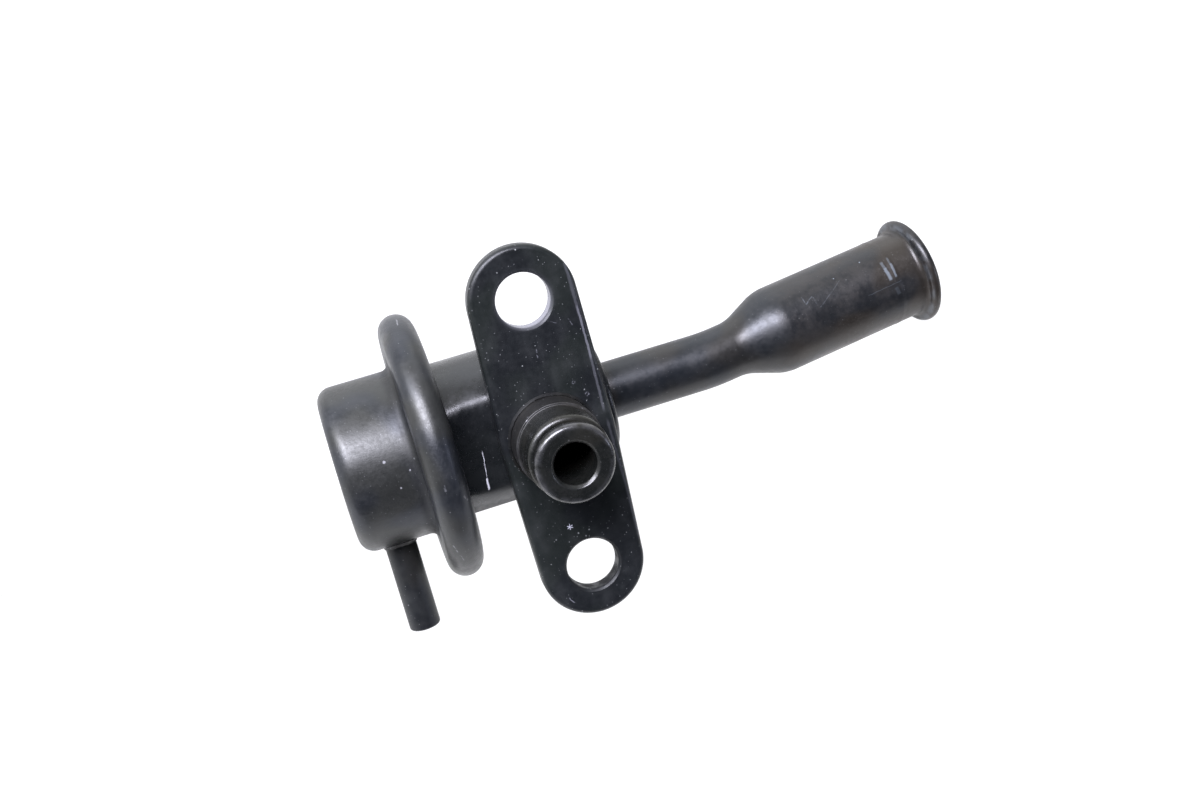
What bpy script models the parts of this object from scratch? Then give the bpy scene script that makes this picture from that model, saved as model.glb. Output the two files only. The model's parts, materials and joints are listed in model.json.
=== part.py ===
"""Fuel pressure regulator with a two-hole flange, a plug-in inlet spigot and a swaged return pipe.

The flange's mounting face lies in the plane Y = 0, with the origin on the axis of the inlet spigot.
The spigot points to -Y and the plate's long axis runs along Z. The body's axis is parallel to X: the
spring chamber is towards -X, the return pipe towards +X, and the vacuum nipple points to -Z.
All sizes are in metres and all angles in degrees.

Everything is drawn with the valve closed. The diaphragm stack lifts off the seat towards -X.
"""
import math

import bmesh
import bpy
from mathutils import Matrix, Vector

# Clearances
JOINT_GAP = 0.00005
VALVE_GAP = 0.00015
BALL_GAP = 0.00003
RING_GAP = 0.0002

# Flange plate
SCREW_SPACING = 0.038
SCREW_HOLE_RADIUS = 0.00365
PLATE_THICKNESS = 0.0028
PLATE_END_RADIUS = 0.0073
PLATE_WAIST_RADIUS = 0.00785
PLATE_EDGE_ROUND = 0.0007
HOLE_CHAMFER = 0.00025
PLATE_OFFSET = 0.00075

# Inlet spigot
SPIGOT_LENGTH = 0.0131
SPIGOT_BORE_RADIUS = 0.00275
SPIGOT_LAND_RADIUS = 0.0051
SPIGOT_TIP_RADIUS = 0.0052
SPIGOT_TIP_LENGTH = 0.0014
SPIGOT_TIP_ROUND = 0.0009
SPIGOT_COLLAR_RADIUS = 0.00585
SPIGOT_COLLAR_HEIGHT = 0.0042
SPIGOT_EDGE_ROUND = 0.0004
SPIGOT_NECK_RADIUS = 0.0042
SEAL_GROOVE_WIDTH = 0.0018
SEAL_GROOVE_DEPTH = 0.0012
BORE_CHAMFER = 0.0003

# Fuel housing
HOUSING_RADIUS = 0.0109
HOUSING_WALL = 0.00115
BODY_RISE = 0.00065
FLAT_DEPTH = 0.00185
FLAT_CREASE_X = -0.0097
FLAT_RUNOUT_RADIUS = 0.0048
HOUSING_SHOULDER_X = 0.0025
BOSS_STEP = 0.0027
BOSS_END_X = 0.0086
BOSS_ROUND = 0.0010
RIM_FILLET = 0.0012

# Rolled joint between cover and housing
JOINT_X = -0.01545
BEAD_RADIUS = 0.01885
CURL_CLEARANCE = 0.0021

# Spring cover
COVER_RADIUS = 0.01175
COVER_WALL = 0.0012
COVER_END_X = -0.02855
COVER_CORNER_RADIUS = 0.0022
COVER_NECK_FILLET = 0.0011

# Vacuum nipple
NIPPLE_X = -0.0233
NIPPLE_RADIUS = 0.0022
NIPPLE_BORE_RADIUS = 0.0012
NIPPLE_LENGTH = 0.0130
NIPPLE_TILT = -5
NIPPLE_END_ROUND = 0.0004

# Return pipe
PIPE_RADIUS = 0.0041
PIPE_WALL = 0.0008
BEND_START_X = 0.0245
BEND_RADIUS = 0.030
BEND_ANGLE = 6.9
BEND_ROLL = -33
TAPER_START_X = 0.0297
TAPER_LENGTH = 0.0070
SHOULDER_ROUND = 0.006
BELL_RADIUS = 0.00645
BELL_LENGTH = 0.0243
LIP_RADIUS = 0.0079
LIP_THICKNESS = 0.0015
BAND_FROM_MOUTH = 0.0058
BAND_WIDTH = 0.0012
BAND_HEIGHT = 0.00015

# Valve seat in the inner end of the pipe
SEAT_BORE_RADIUS = 0.0024
SEAT_LIP_RADIUS = 0.0029
SEAT_NOSE_RADIUS = 0.0033
SEAT_NOSE_LENGTH = 0.0008
SEAT_FLANGE_THICKNESS = 0.0006
SEAT_SHANK_LENGTH = 0.0035

# Diaphragm and the stack riveted to it
DIAPHRAGM_RIM_THICKNESS = 0.0012
DIAPHRAGM_THICKNESS = 0.0009
DIAPHRAGM_RIM_CLEARANCE = 0.00175
ROLL_CLEARANCE = 0.00035
ROLL_WIDTH = 0.0022
ROLL_HEIGHT = 0.0011
SPRING_PLATE_THICKNESS = 0.0008
SPRING_PLATE_CLEARANCE = 0.0002
SPRING_PLATE_RIM_HEIGHT = 0.0011
SUPPORT_WASHER_THICKNESS = 0.0007
SUPPORT_WASHER_CLEARANCE = 0.0005
STEM_WASHER_THICKNESS = 0.0004
STEM_WASHER_RADIUS = 0.0032
STEM_RADIUS = 0.00245
RIVET_HEAD_RADIUS = 0.0030
RIVET_HEAD_THICKNESS = 0.0007
HOLDER_RADIUS = 0.0052
HOLDER_LENGTH = 0.0025

# Valve plate, ball and their retainer
VALVE_PLATE_RADIUS = 0.0038
VALVE_PLATE_THICKNESS = 0.0010
VALVE_PLATE_SIDE_GAP = 0.0002
TILT_ROOM = 0.0004
BALL_RADIUS = 0.0015
DIMPLE_DEPTH = 0.00035
SOCKET_RADIUS = 0.00158
RETAINER_THICKNESS = 0.00035
RETAINER_LAND = 0.0003
BALL_SPRING_WIRE = 0.0003
BALL_SPRING_TURNS = 2.5

# Main spring
SPRING_WIRE = 0.0016
SPRING_CLEARANCE = 0.0001
SPRING_END_TURNS = 1.0
SPRING_ACTIVE_TURNS = 1.75

# Braze fillets
BRAZE_SPREAD = 0.0005
BRAZE_HEIGHT = 0.0007

# Facets round each kind of turned piece
BODY_STEPS = 36
PIPE_STEPS = 28
SMALL_STEPS = 20
LARGE_ROUND = 0.0015
LARGE_ROUND_SEGMENTS = 4
SMALL_ROUND_SEGMENTS = 2

# Places that follow from the sizes above
FLAT_Y = PLATE_THICKNESS + JOINT_GAP
BODY_Y = FLAT_Y + HOUSING_RADIUS - FLAT_DEPTH
BOSS_RADIUS = HOUSING_RADIUS - BOSS_STEP
CURL_END_RADIUS = HOUSING_RADIUS + CURL_CLEARANCE
JOINT_THICKNESS = 2 * COVER_WALL + DIAPHRAGM_RIM_THICKNESS + HOUSING_WALL + 3 * JOINT_GAP
BEAD_LEFT_X = JOINT_X - JOINT_THICKNESS / 2
BEAD_RIGHT_X = JOINT_X + JOINT_THICKNESS / 2
RIM_LEFT_X = BEAD_LEFT_X + COVER_WALL + JOINT_GAP
RIM_RIGHT_X = RIM_LEFT_X + DIAPHRAGM_RIM_THICKNESS
HOUSING_RIM_X = RIM_RIGHT_X + JOINT_GAP
WEB_LEFT_X = (RIM_LEFT_X + RIM_RIGHT_X - DIAPHRAGM_THICKNESS) / 2
WEB_RIGHT_X = WEB_LEFT_X + DIAPHRAGM_THICKNESS
DIAPHRAGM_RIM_RADIUS = BEAD_RADIUS - COVER_WALL - DIAPHRAGM_RIM_CLEARANCE
ROLL_RADIUS = COVER_RADIUS - COVER_WALL - ROLL_CLEARANCE
HUB_RADIUS = ROLL_RADIUS - ROLL_WIDTH
SPRING_PLATE_RADIUS = HUB_RADIUS - SPRING_PLATE_CLEARANCE
SUPPORT_WASHER_RADIUS = HUB_RADIUS - SUPPORT_WASHER_CLEARANCE
SPRING_RADIUS = SPRING_PLATE_RADIUS - SPRING_PLATE_THICKNESS - SPRING_CLEARANCE - SPRING_WIRE / 2
SPRING_PLATE_X = WEB_LEFT_X - JOINT_GAP - SPRING_PLATE_THICKNESS
STEM_WASHER_X = SPRING_PLATE_X - JOINT_GAP - STEM_WASHER_THICKNESS
RIVET_HEAD_X = STEM_WASHER_X - JOINT_GAP - RIVET_HEAD_THICKNESS
SUPPORT_WASHER_X = WEB_RIGHT_X + JOINT_GAP
HOLDER_X = SUPPORT_WASHER_X + SUPPORT_WASHER_THICKNESS + JOINT_GAP
HOLDER_END_X = HOLDER_X + HOLDER_LENGTH
POCKET_RADIUS = VALVE_PLATE_RADIUS + VALVE_PLATE_SIDE_GAP
RETAINER_END_X = HOLDER_END_X - 2 * JOINT_GAP
RETAINER_X = RETAINER_END_X - RETAINER_THICKNESS
RETAINER_RADIUS = POCKET_RADIUS + RETAINER_LAND - JOINT_GAP
VALVE_FACE_X = RETAINER_X - VALVE_GAP
VALVE_BACK_X = VALVE_FACE_X - VALVE_PLATE_THICKNESS
POCKET_FLOOR_X = VALVE_BACK_X - TILT_ROOM
BALL_X = VALVE_BACK_X + DIMPLE_DEPTH - BALL_GAP - BALL_RADIUS
SOCKET_FLOOR_X = RIVET_HEAD_X + RIVET_HEAD_THICKNESS
SEAT_LIP_X = VALVE_FACE_X + VALVE_GAP
SEAT_FLANGE_X = SEAT_LIP_X + SEAT_NOSE_LENGTH
PIPE_INNER_END_X = SEAT_FLANGE_X + SEAT_FLANGE_THICKNESS + JOINT_GAP
STEM_HOLE_RADIUS = STEM_RADIUS + JOINT_GAP
CHAMBER_RADIUS = HOUSING_RADIUS - HOUSING_WALL
HOUSING_INNER_Y = FLAT_Y + HOUSING_WALL
PIPE_BORE_RADIUS = PIPE_RADIUS - PIPE_WALL

ALONG_BODY = (0, math.radians(90), 0)
ALONG_SPIGOT = (math.radians(90), 0, 0)
ALONG_NIPPLE = (math.radians(180 + NIPPLE_TILT), 0, 0)
BODY_ORIGIN = (0, BODY_Y, BODY_RISE)


# Scene and materials

def clear_scene():
    """Remove what the start-up scene holds."""
    for item in list(bpy.data.objects):
        bpy.data.objects.remove(item, do_unlink=True)


def new_collection(name):
    """Add a collection to the scene."""
    collection = bpy.data.collections.new(name)
    bpy.context.scene.collection.children.link(collection)
    return collection


def material(name, colour, metallic, roughness):
    """Make a Principled material."""
    made = bpy.data.materials.new(name)
    made.use_nodes = True
    shader = made.node_tree.nodes["Principled BSDF"]
    shader.inputs["Base Color"].default_value = (*colour, 1)
    shader.inputs["Metallic"].default_value = metallic
    shader.inputs["Roughness"].default_value = roughness
    return made


# Outlines

def rounded_corner(before, corner, after, radius):
    """Points of the arc that rounds one corner, kept short of its neighbours."""
    to_before = before - corner
    to_after = after - corner
    half = to_before.angle(to_after) / 2
    reach = min(radius / math.tan(half), 0.499 * to_before.length, 0.499 * to_after.length)
    start = corner + to_before.normalized() * reach
    end = corner + to_after.normalized() * reach
    inward = (to_before.normalized() + to_after.normalized()).normalized()
    centre = corner + inward * (reach / math.cos(half))
    first = start - centre
    last = end - centre
    sweep = math.atan2(first.x * last.y - first.y * last.x, first.dot(last))
    quarters = abs(sweep) / math.radians(90)
    if first.length > LARGE_ROUND:
        count = max(2, round(LARGE_ROUND_SEGMENTS * quarters))
    else:
        count = max(1, round(SMALL_ROUND_SEGMENTS * quarters))
    return [centre + Matrix.Rotation(sweep * step / count, 2) @ first for step in range(count + 1)]


def outline_points(corners, closed):
    """Turn corners (along, radius) or (along, radius, rounding) into outline points."""
    places = [Vector(corner[:2]) for corner in corners]
    points = []
    for index, corner in enumerate(corners):
        at_end = not closed and index in (0, len(corners) - 1)
        if len(corner) == 2 or at_end:
            points.append(places[index])
            continue
        after = places[(index + 1) % len(places)]
        points.extend(rounded_corner(places[index - 1], places[index], after, corner[2]))
    return points


def signed_area(points):
    """Area inside a loop of points, negative when it runs clockwise."""
    following = points[1:] + points[:1]
    return sum(a.x * b.y - b.x * a.y for a, b in zip(points, following)) / 2


# Modelling helpers

def add_object(name, mesh, collection, surface=None):
    """Put a mesh into a collection as an object."""
    made = bpy.data.objects.new(name, mesh)
    collection.objects.link(made)
    if surface:
        made.data.materials.append(surface)
    return made


def turned(name, corners, steps, collection, surface=None, closed=True):
    """Turn an outline of (along, radius) corners about the object's local Z axis.

    An open outline starts and ends on the axis.
    """
    points = [Vector((point.y, point.x)) for point in outline_points(corners, closed)]
    if signed_area(points) > 0:
        points.reverse()
    mesh = bpy.data.meshes.new(name)
    edges = [(index, index + 1) for index in range(len(points) - 1)]
    if closed:
        edges.append((len(points) - 1, 0))
    mesh.from_pydata([(point.x, 0, point.y) for point in points], edges, [])
    made = add_object(name, mesh, collection, surface)
    screw = made.modifiers.new("Turn", "SCREW")
    screw.axis = "Z"
    screw.angle = math.radians(360)
    screw.steps = steps
    screw.render_steps = steps
    screw.use_merge_vertices = True
    screw.merge_threshold = 0.000001
    return made


def place(item, location, rotation):
    """Set where an object stands."""
    item.location = location
    item.rotation_euler = rotation
    return item


def baked(item):
    """Replace an object's mesh by its evaluated one, and drop the modifiers."""
    bpy.context.view_layer.update()
    depsgraph = bpy.context.evaluated_depsgraph_get()
    mesh = bpy.data.meshes.new_from_object(item.evaluated_get(depsgraph))
    mesh.name = item.name
    item.modifiers.clear()
    item.data = mesh
    return item


def smooth(item):
    """Shade an object's round faces smooth and keep its corners sharp."""
    baked(item)
    item.data.shade_smooth()
    item.data.set_sharp_from_angle(angle=math.radians(35))
    return item


def cut(target, cutter):
    """Cut one object with another by a Boolean difference."""
    boolean = target.modifiers.new("Cut " + cutter.name, "BOOLEAN")
    boolean.operation = "DIFFERENCE"
    boolean.solver = "EXACT"
    boolean.object = cutter


def hide_cutter(cutter):
    """Show a cutter as wire and keep it out of renders."""
    cutter.hide_render = True
    cutter.display_type = "WIRE"
    return cutter


def curve_to_mesh_object(curve_object, collection, surface=None):
    """Make a mesh object with welded caps out of a curve object."""
    bpy.context.view_layer.update()
    depsgraph = bpy.context.evaluated_depsgraph_get()
    mesh = bpy.data.meshes.new_from_object(curve_object.evaluated_get(depsgraph))
    shape = bmesh.new()
    shape.from_mesh(mesh)
    bmesh.ops.remove_doubles(shape, verts=shape.verts, dist=0.000001)
    bmesh.ops.dissolve_limit(
        shape, angle_limit=math.radians(0.5), verts=shape.verts, edges=shape.edges
    )
    bmesh.ops.recalc_face_normals(shape, faces=shape.faces)
    shape.to_mesh(mesh)
    shape.free()
    name = curve_object.name
    made = add_object(name + "_mesh", mesh, collection, surface)
    made.matrix_world = curve_object.matrix_world
    bpy.data.objects.remove(curve_object, do_unlink=True)
    made.name = name
    return made


def flat_prism(name, points, thickness, collection):
    """Extrude a closed outline in its own XY plane, half to each side."""
    data = bpy.data.curves.new(name, "CURVE")
    data.dimensions = "2D"
    data.fill_mode = "BOTH"
    data.extrude = thickness / 2
    spline = data.splines.new("POLY")
    spline.points.add(len(points) - 1)
    for spline_point, point in zip(spline.points, points):
        spline_point.co = (point.x, point.y, 0, 1)
    spline.use_cyclic_u = True
    made = bpy.data.objects.new(name, data)
    collection.objects.link(made)
    return made


def drill(name, radius, near, far, steps, cutters):
    """Make a round cutter from one height to another along its local Z axis."""
    corners = [(near, 0), (near, radius), (far, radius), (far, 0)]
    return hide_cutter(turned(name, corners, steps, cutters, closed=False))


def helix_points(radius, start, end, wire, end_turns, active_turns, points_per_turn):
    """Centre line of a coil whose end turns lie almost wire to wire."""
    end_pitch = wire + JOINT_GAP
    length = end - start
    active_pitch = (length - 2 * end_turns * end_pitch) / active_turns
    turns = 2 * end_turns + active_turns
    count = round(turns * points_per_turn)
    points = []
    for index in range(count + 1):
        turn = turns * index / count
        first = min(turn, end_turns)
        middle = min(max(turn - end_turns, 0), active_turns)
        last = max(turn - end_turns - active_turns, 0)
        height = start + (first + last) * end_pitch + middle * active_pitch
        angle = 2 * math.pi * turn
        points.append(Vector((radius * math.cos(angle), radius * math.sin(angle), height)))
    return points


def wire_coil(name, points, wire, collection, surface):
    """Run round wire with closed ends along a line of points."""
    data = bpy.data.curves.new(name, "CURVE")
    data.dimensions = "3D"
    data.bevel_depth = wire / 2
    data.bevel_resolution = 2
    data.use_fill_caps = True
    spline = data.splines.new("POLY")
    spline.points.add(len(points) - 1)
    for spline_point, point in zip(spline.points, points):
        spline_point.co = (*point, 1)
    spline.use_smooth = True
    data.materials.append(surface)
    made = bpy.data.objects.new(name, data)
    collection.objects.link(made)
    return made


# Flange and inlet

def plate_outline():
    """Outline of the plate in the XZ plane: two end arcs and a slightly wider waist."""
    points = []
    half_spacing = SCREW_SPACING / 2
    lean = math.asin((PLATE_WAIST_RADIUS - PLATE_END_RADIUS) / half_spacing)
    end_steps = 14
    waist_steps = 2
    for centre, radius, middle, half_sweep, steps in (
        (half_spacing, PLATE_END_RADIUS, math.radians(90), math.radians(90) - lean, end_steps),
        (0, PLATE_WAIST_RADIUS, math.radians(180), lean, waist_steps),
        (-half_spacing, PLATE_END_RADIUS, math.radians(270), math.radians(90) - lean, end_steps),
        (0, PLATE_WAIST_RADIUS, math.radians(360), lean, waist_steps),
    ):
        for step in range(steps + 1):
            angle = middle - half_sweep + 2 * half_sweep * step / steps
            points.append(Vector((radius * math.cos(angle), centre + radius * math.sin(angle))))
    return points


def screw_hole_cutter(name, height, cutters):
    """A drill for one screw hole, flared where it leaves each face."""
    flare = HOLE_CHAMFER
    margin = PLATE_THICKNESS / 2
    wide = SCREW_HOLE_RADIUS + flare + margin
    corners = [
        (-margin, 0),
        (-margin, wide),
        (flare, SCREW_HOLE_RADIUS),
        (PLATE_THICKNESS - flare, SCREW_HOLE_RADIUS),
        (PLATE_THICKNESS + margin, wide),
        (PLATE_THICKNESS + margin, 0),
    ]
    cutter = hide_cutter(turned(name, corners, SMALL_STEPS, cutters, closed=False))
    return place(cutter, (PLATE_OFFSET, 0, height), (math.radians(-90), 0, 0))


def build_flange_plate(parts, cutters, surface):
    """Two-hole plate with rounded edges, and the hole that the spigot's neck passes through."""
    blank = flat_prism("flange_plate", plate_outline(), PLATE_THICKNESS, parts)
    place(blank, (PLATE_OFFSET, PLATE_THICKNESS / 2, 0), ALONG_SPIGOT)
    plate = curve_to_mesh_object(blank, parts, surface)
    bevel = plate.modifiers.new("Blanked edge", "BEVEL")
    bevel.width = PLATE_EDGE_ROUND
    bevel.segments = 3
    bevel.limit_method = "ANGLE"
    bevel.angle_limit = math.radians(50)
    for index, side in enumerate((1, -1)):
        cut(plate, screw_hole_cutter(f"screw_hole_{index + 1}", side * SCREW_SPACING / 2, cutters))
    neck_hole = drill(
        "plate_neck_hole", SPIGOT_NECK_RADIUS + JOINT_GAP, -PLATE_THICKNESS,
        2 * PLATE_THICKNESS, PIPE_STEPS, cutters,
    )
    cut(plate, place(neck_hole, (0, 0, 0), (math.radians(-90), 0, 0)))
    return smooth(plate)


def build_inlet_spigot(parts, surface):
    """Turned spigot: rounded tip, empty seal groove, land, collar, and a neck through the plate."""
    groove_start = SPIGOT_LENGTH - SPIGOT_TIP_LENGTH - SEAL_GROOVE_WIDTH
    groove_end = SPIGOT_LENGTH - SPIGOT_TIP_LENGTH
    groove_floor = SPIGOT_LAND_RADIUS - SEAL_GROOVE_DEPTH
    corners = [
        (-HOUSING_INNER_Y, SPIGOT_BORE_RADIUS),
        (-HOUSING_INNER_Y, SPIGOT_NECK_RADIUS),
        (JOINT_GAP, SPIGOT_NECK_RADIUS),
        (JOINT_GAP, SPIGOT_COLLAR_RADIUS),
        (SPIGOT_COLLAR_HEIGHT, SPIGOT_COLLAR_RADIUS, SPIGOT_EDGE_ROUND),
        (SPIGOT_COLLAR_HEIGHT, SPIGOT_LAND_RADIUS),
        (groove_start, SPIGOT_LAND_RADIUS, SPIGOT_EDGE_ROUND),
        (groove_start, groove_floor),
        (groove_end, groove_floor),
        (groove_end, SPIGOT_TIP_RADIUS),
        (SPIGOT_LENGTH, SPIGOT_TIP_RADIUS, SPIGOT_TIP_ROUND),
        (SPIGOT_LENGTH, SPIGOT_BORE_RADIUS + BORE_CHAMFER),
        (SPIGOT_LENGTH - BORE_CHAMFER, SPIGOT_BORE_RADIUS),
    ]
    spigot = turned("inlet_spigot", corners, PIPE_STEPS, parts, surface)
    return smooth(place(spigot, (0, 0, 0), ALONG_SPIGOT))


def braze_corners(foot, inner_radius):
    """Outline of a concave braze fillet that climbs a tube from a face at the given height."""
    outer_radius = inner_radius + BRAZE_SPREAD
    toe = 0.1 * BRAZE_HEIGHT
    return [
        (foot, inner_radius),
        (foot + BRAZE_HEIGHT, inner_radius),
        (foot + 3 * toe, inner_radius + 0.4 * BRAZE_SPREAD),
        (foot + toe, outer_radius),
        (foot, outer_radius),
    ]


def build_spigot_braze(parts, surface):
    """Braze ring at the foot of the spigot's collar, on the plate's face."""
    corners = braze_corners(JOINT_GAP, SPIGOT_COLLAR_RADIUS + JOINT_GAP)
    ring = turned("spigot_braze", corners, PIPE_STEPS, parts, surface)
    return smooth(place(ring, (0, 0, 0), ALONG_SPIGOT))


# Fuel housing

def flat_cutter(name, depth, cutters):
    """Prism that removes what lies outside the pressed flat.

    Its underside is level from the pipe's end to the crease, then curls up in an arc towards the
    bead. A depth moves the whole underside inwards by the wall, about the same arc centre.
    """
    radius = FLAT_RUNOUT_RADIUS + depth
    level = FLAT_Y + depth
    arc_centre = Vector((FLAT_CREASE_X, FLAT_Y - FLAT_RUNOUT_RADIUS))
    top = BODY_Y - 1.5 * HOUSING_RADIUS
    far = BOSS_END_X + HOUSING_RADIUS
    lift = min(FLAT_RUNOUT_RADIUS, FLAT_Y - BODY_Y + HOUSING_RADIUS)
    sweep = math.acos(1 - lift / FLAT_RUNOUT_RADIUS)
    points = [Vector((far, top)), Vector((far, level))]
    arc_steps = 5
    for step in range(arc_steps + 1):
        angle = sweep * step / arc_steps
        points.append(arc_centre + radius * Vector((-math.sin(angle), math.cos(angle))))
    points.append(Vector((points[-1].x, top)))
    prism = flat_prism(name, points, 4 * HOUSING_RADIUS, cutters)
    return hide_cutter(curve_to_mesh_object(prism, cutters))


def build_fuel_housing(parts, cutters, surface):
    """Drawn shell with the clamped rim, the pressed flat and the stepped boss for the pipe."""
    rim_right = HOUSING_RIM_X + HOUSING_WALL
    corners = [
        (HOUSING_RIM_X, 0),
        (HOUSING_RIM_X, DIAPHRAGM_RIM_RADIUS),
        (rim_right, DIAPHRAGM_RIM_RADIUS),
        (rim_right, HOUSING_RADIUS, RIM_FILLET),
        (HOUSING_SHOULDER_X, HOUSING_RADIUS, BOSS_ROUND),
        (HOUSING_SHOULDER_X, BOSS_RADIUS),
        (BOSS_END_X, BOSS_RADIUS, BOSS_ROUND),
        (BOSS_END_X, 0),
    ]
    housing = turned("fuel_housing", corners, BODY_STEPS, parts, surface, closed=False)
    place(housing, BODY_ORIGIN, ALONG_BODY)
    cut(housing, flat_cutter("flat_outside", 0, cutters))

    pipe_hole = PIPE_RADIUS + JOINT_GAP
    cavity_corners = [
        (HOUSING_RIM_X - HOUSING_WALL, 0),
        (HOUSING_RIM_X - HOUSING_WALL, CHAMBER_RADIUS),
        (HOUSING_SHOULDER_X - HOUSING_WALL, CHAMBER_RADIUS),
        (HOUSING_SHOULDER_X - HOUSING_WALL, BOSS_RADIUS - HOUSING_WALL),
        (BOSS_END_X - HOUSING_WALL, BOSS_RADIUS - HOUSING_WALL),
        (BOSS_END_X - HOUSING_WALL, pipe_hole),
        (BOSS_END_X + HOUSING_WALL, pipe_hole),
        (BOSS_END_X + HOUSING_WALL, 0),
    ]
    cavity = turned("housing_cavity", cavity_corners, BODY_STEPS, cutters, closed=False)
    hide_cutter(place(cavity, BODY_ORIGIN, ALONG_BODY))
    cut(cavity, flat_cutter("flat_inside", HOUSING_WALL, cutters))
    cut(housing, baked(cavity))

    inlet = drill(
        "housing_inlet", SPIGOT_NECK_RADIUS + JOINT_GAP, FLAT_Y - HOUSING_WALL,
        HOUSING_INNER_Y + HOUSING_WALL, PIPE_STEPS, cutters,
    )
    cut(housing, place(inlet, (0, 0, 0), (math.radians(-90), 0, 0)))
    return smooth(housing)


# Spring cover and nipple

def build_spring_cover(parts, cutters, surface):
    """Drawn cup whose rim is rolled round the diaphragm's and the housing's rims."""
    inner_left = BEAD_LEFT_X + COVER_WALL
    inner_right = BEAD_RIGHT_X - COVER_WALL
    inner_bead = BEAD_RADIUS - COVER_WALL
    inner_radius = COVER_RADIUS - COVER_WALL
    roll = JOINT_THICKNESS / 2
    corners = [
        (COVER_END_X, 0),
        (COVER_END_X, COVER_RADIUS, COVER_CORNER_RADIUS),
        (BEAD_LEFT_X, COVER_RADIUS, COVER_NECK_FILLET),
        (BEAD_LEFT_X, BEAD_RADIUS, roll),
        (BEAD_RIGHT_X, BEAD_RADIUS, roll),
        (BEAD_RIGHT_X, CURL_END_RADIUS, 0.0005),
        (inner_right, CURL_END_RADIUS),
        (inner_right, inner_bead, roll - COVER_WALL),
        (inner_left, inner_bead, roll - COVER_WALL),
        (inner_left, inner_radius),
        (COVER_END_X + COVER_WALL, inner_radius, COVER_CORNER_RADIUS - COVER_WALL),
        (COVER_END_X + COVER_WALL, 0),
    ]
    cover = turned("spring_cover", corners, BODY_STEPS, parts, surface, closed=False)
    place(cover, BODY_ORIGIN, ALONG_BODY)
    hole = drill(
        "nipple_hole", NIPPLE_RADIUS + JOINT_GAP, inner_radius / 2, 2 * COVER_RADIUS,
        SMALL_STEPS, cutters,
    )
    cut(cover, place(hole, (NIPPLE_X, BODY_Y, BODY_RISE), ALONG_NIPPLE))
    return smooth(cover)


def build_vacuum_nipple(parts, surface):
    """Straight tube let into the side of the cover."""
    root = COVER_RADIUS - COVER_WALL
    tip = COVER_RADIUS + NIPPLE_LENGTH
    corners = [
        (root, NIPPLE_BORE_RADIUS),
        (root, NIPPLE_RADIUS),
        (tip, NIPPLE_RADIUS, NIPPLE_END_ROUND),
        (tip, NIPPLE_BORE_RADIUS, NIPPLE_END_ROUND / 2),
    ]
    nipple = turned("vacuum_nipple", corners, SMALL_STEPS, parts, surface)
    return smooth(place(nipple, (NIPPLE_X, BODY_Y, BODY_RISE), ALONG_NIPPLE))


def build_nipple_braze(parts, cutters, surface):
    """Braze fillet round the nipple's root, fitted to the round wall of the cover."""
    inner = NIPPLE_RADIUS + JOINT_GAP
    sink = COVER_RADIUS - math.sqrt(COVER_RADIUS**2 - (inner + BRAZE_SPREAD) ** 2)
    corners = braze_corners(COVER_RADIUS, inner)
    corners[0] = (COVER_RADIUS - 2 * sink, inner)
    corners[-1] = (COVER_RADIUS - 2 * sink, inner + BRAZE_SPREAD)
    ring = turned("nipple_braze", corners, SMALL_STEPS, parts, surface)
    place(ring, (NIPPLE_X, BODY_Y, BODY_RISE), ALONG_NIPPLE)
    wall = drill(
        "cover_wall", COVER_RADIUS + JOINT_GAP, NIPPLE_X - 3 * NIPPLE_RADIUS,
        NIPPLE_X + 3 * NIPPLE_RADIUS, 2 * BODY_STEPS, cutters,
    )
    cut(ring, place(wall, BODY_ORIGIN, ALONG_BODY))
    return smooth(ring)


# Return pipe and seat

def bent(point):
    """Move a point of the straight pipe to its place on the bent one.

    The pipe's axis is local Z. Past the start of the bend it turns towards the bend direction.
    """
    start = BEND_START_X
    angle = math.radians(BEND_ANGLE)
    past = point.z - start
    if past <= 0:
        return point.copy()
    roll = Matrix.Rotation(math.radians(BEND_ROLL), 3, "Z")
    local = roll.inverted() @ point
    offset = -local.x
    turned_by = min(past / BEND_RADIUS, angle)
    straight = max(past - BEND_RADIUS * angle, 0)
    reach = BEND_RADIUS - offset
    along = start + reach * math.sin(turned_by) + straight * math.cos(turned_by)
    across = BEND_RADIUS - reach * math.cos(turned_by) + straight * math.sin(turned_by)
    return roll @ Vector((-across, local.y, along))


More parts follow.
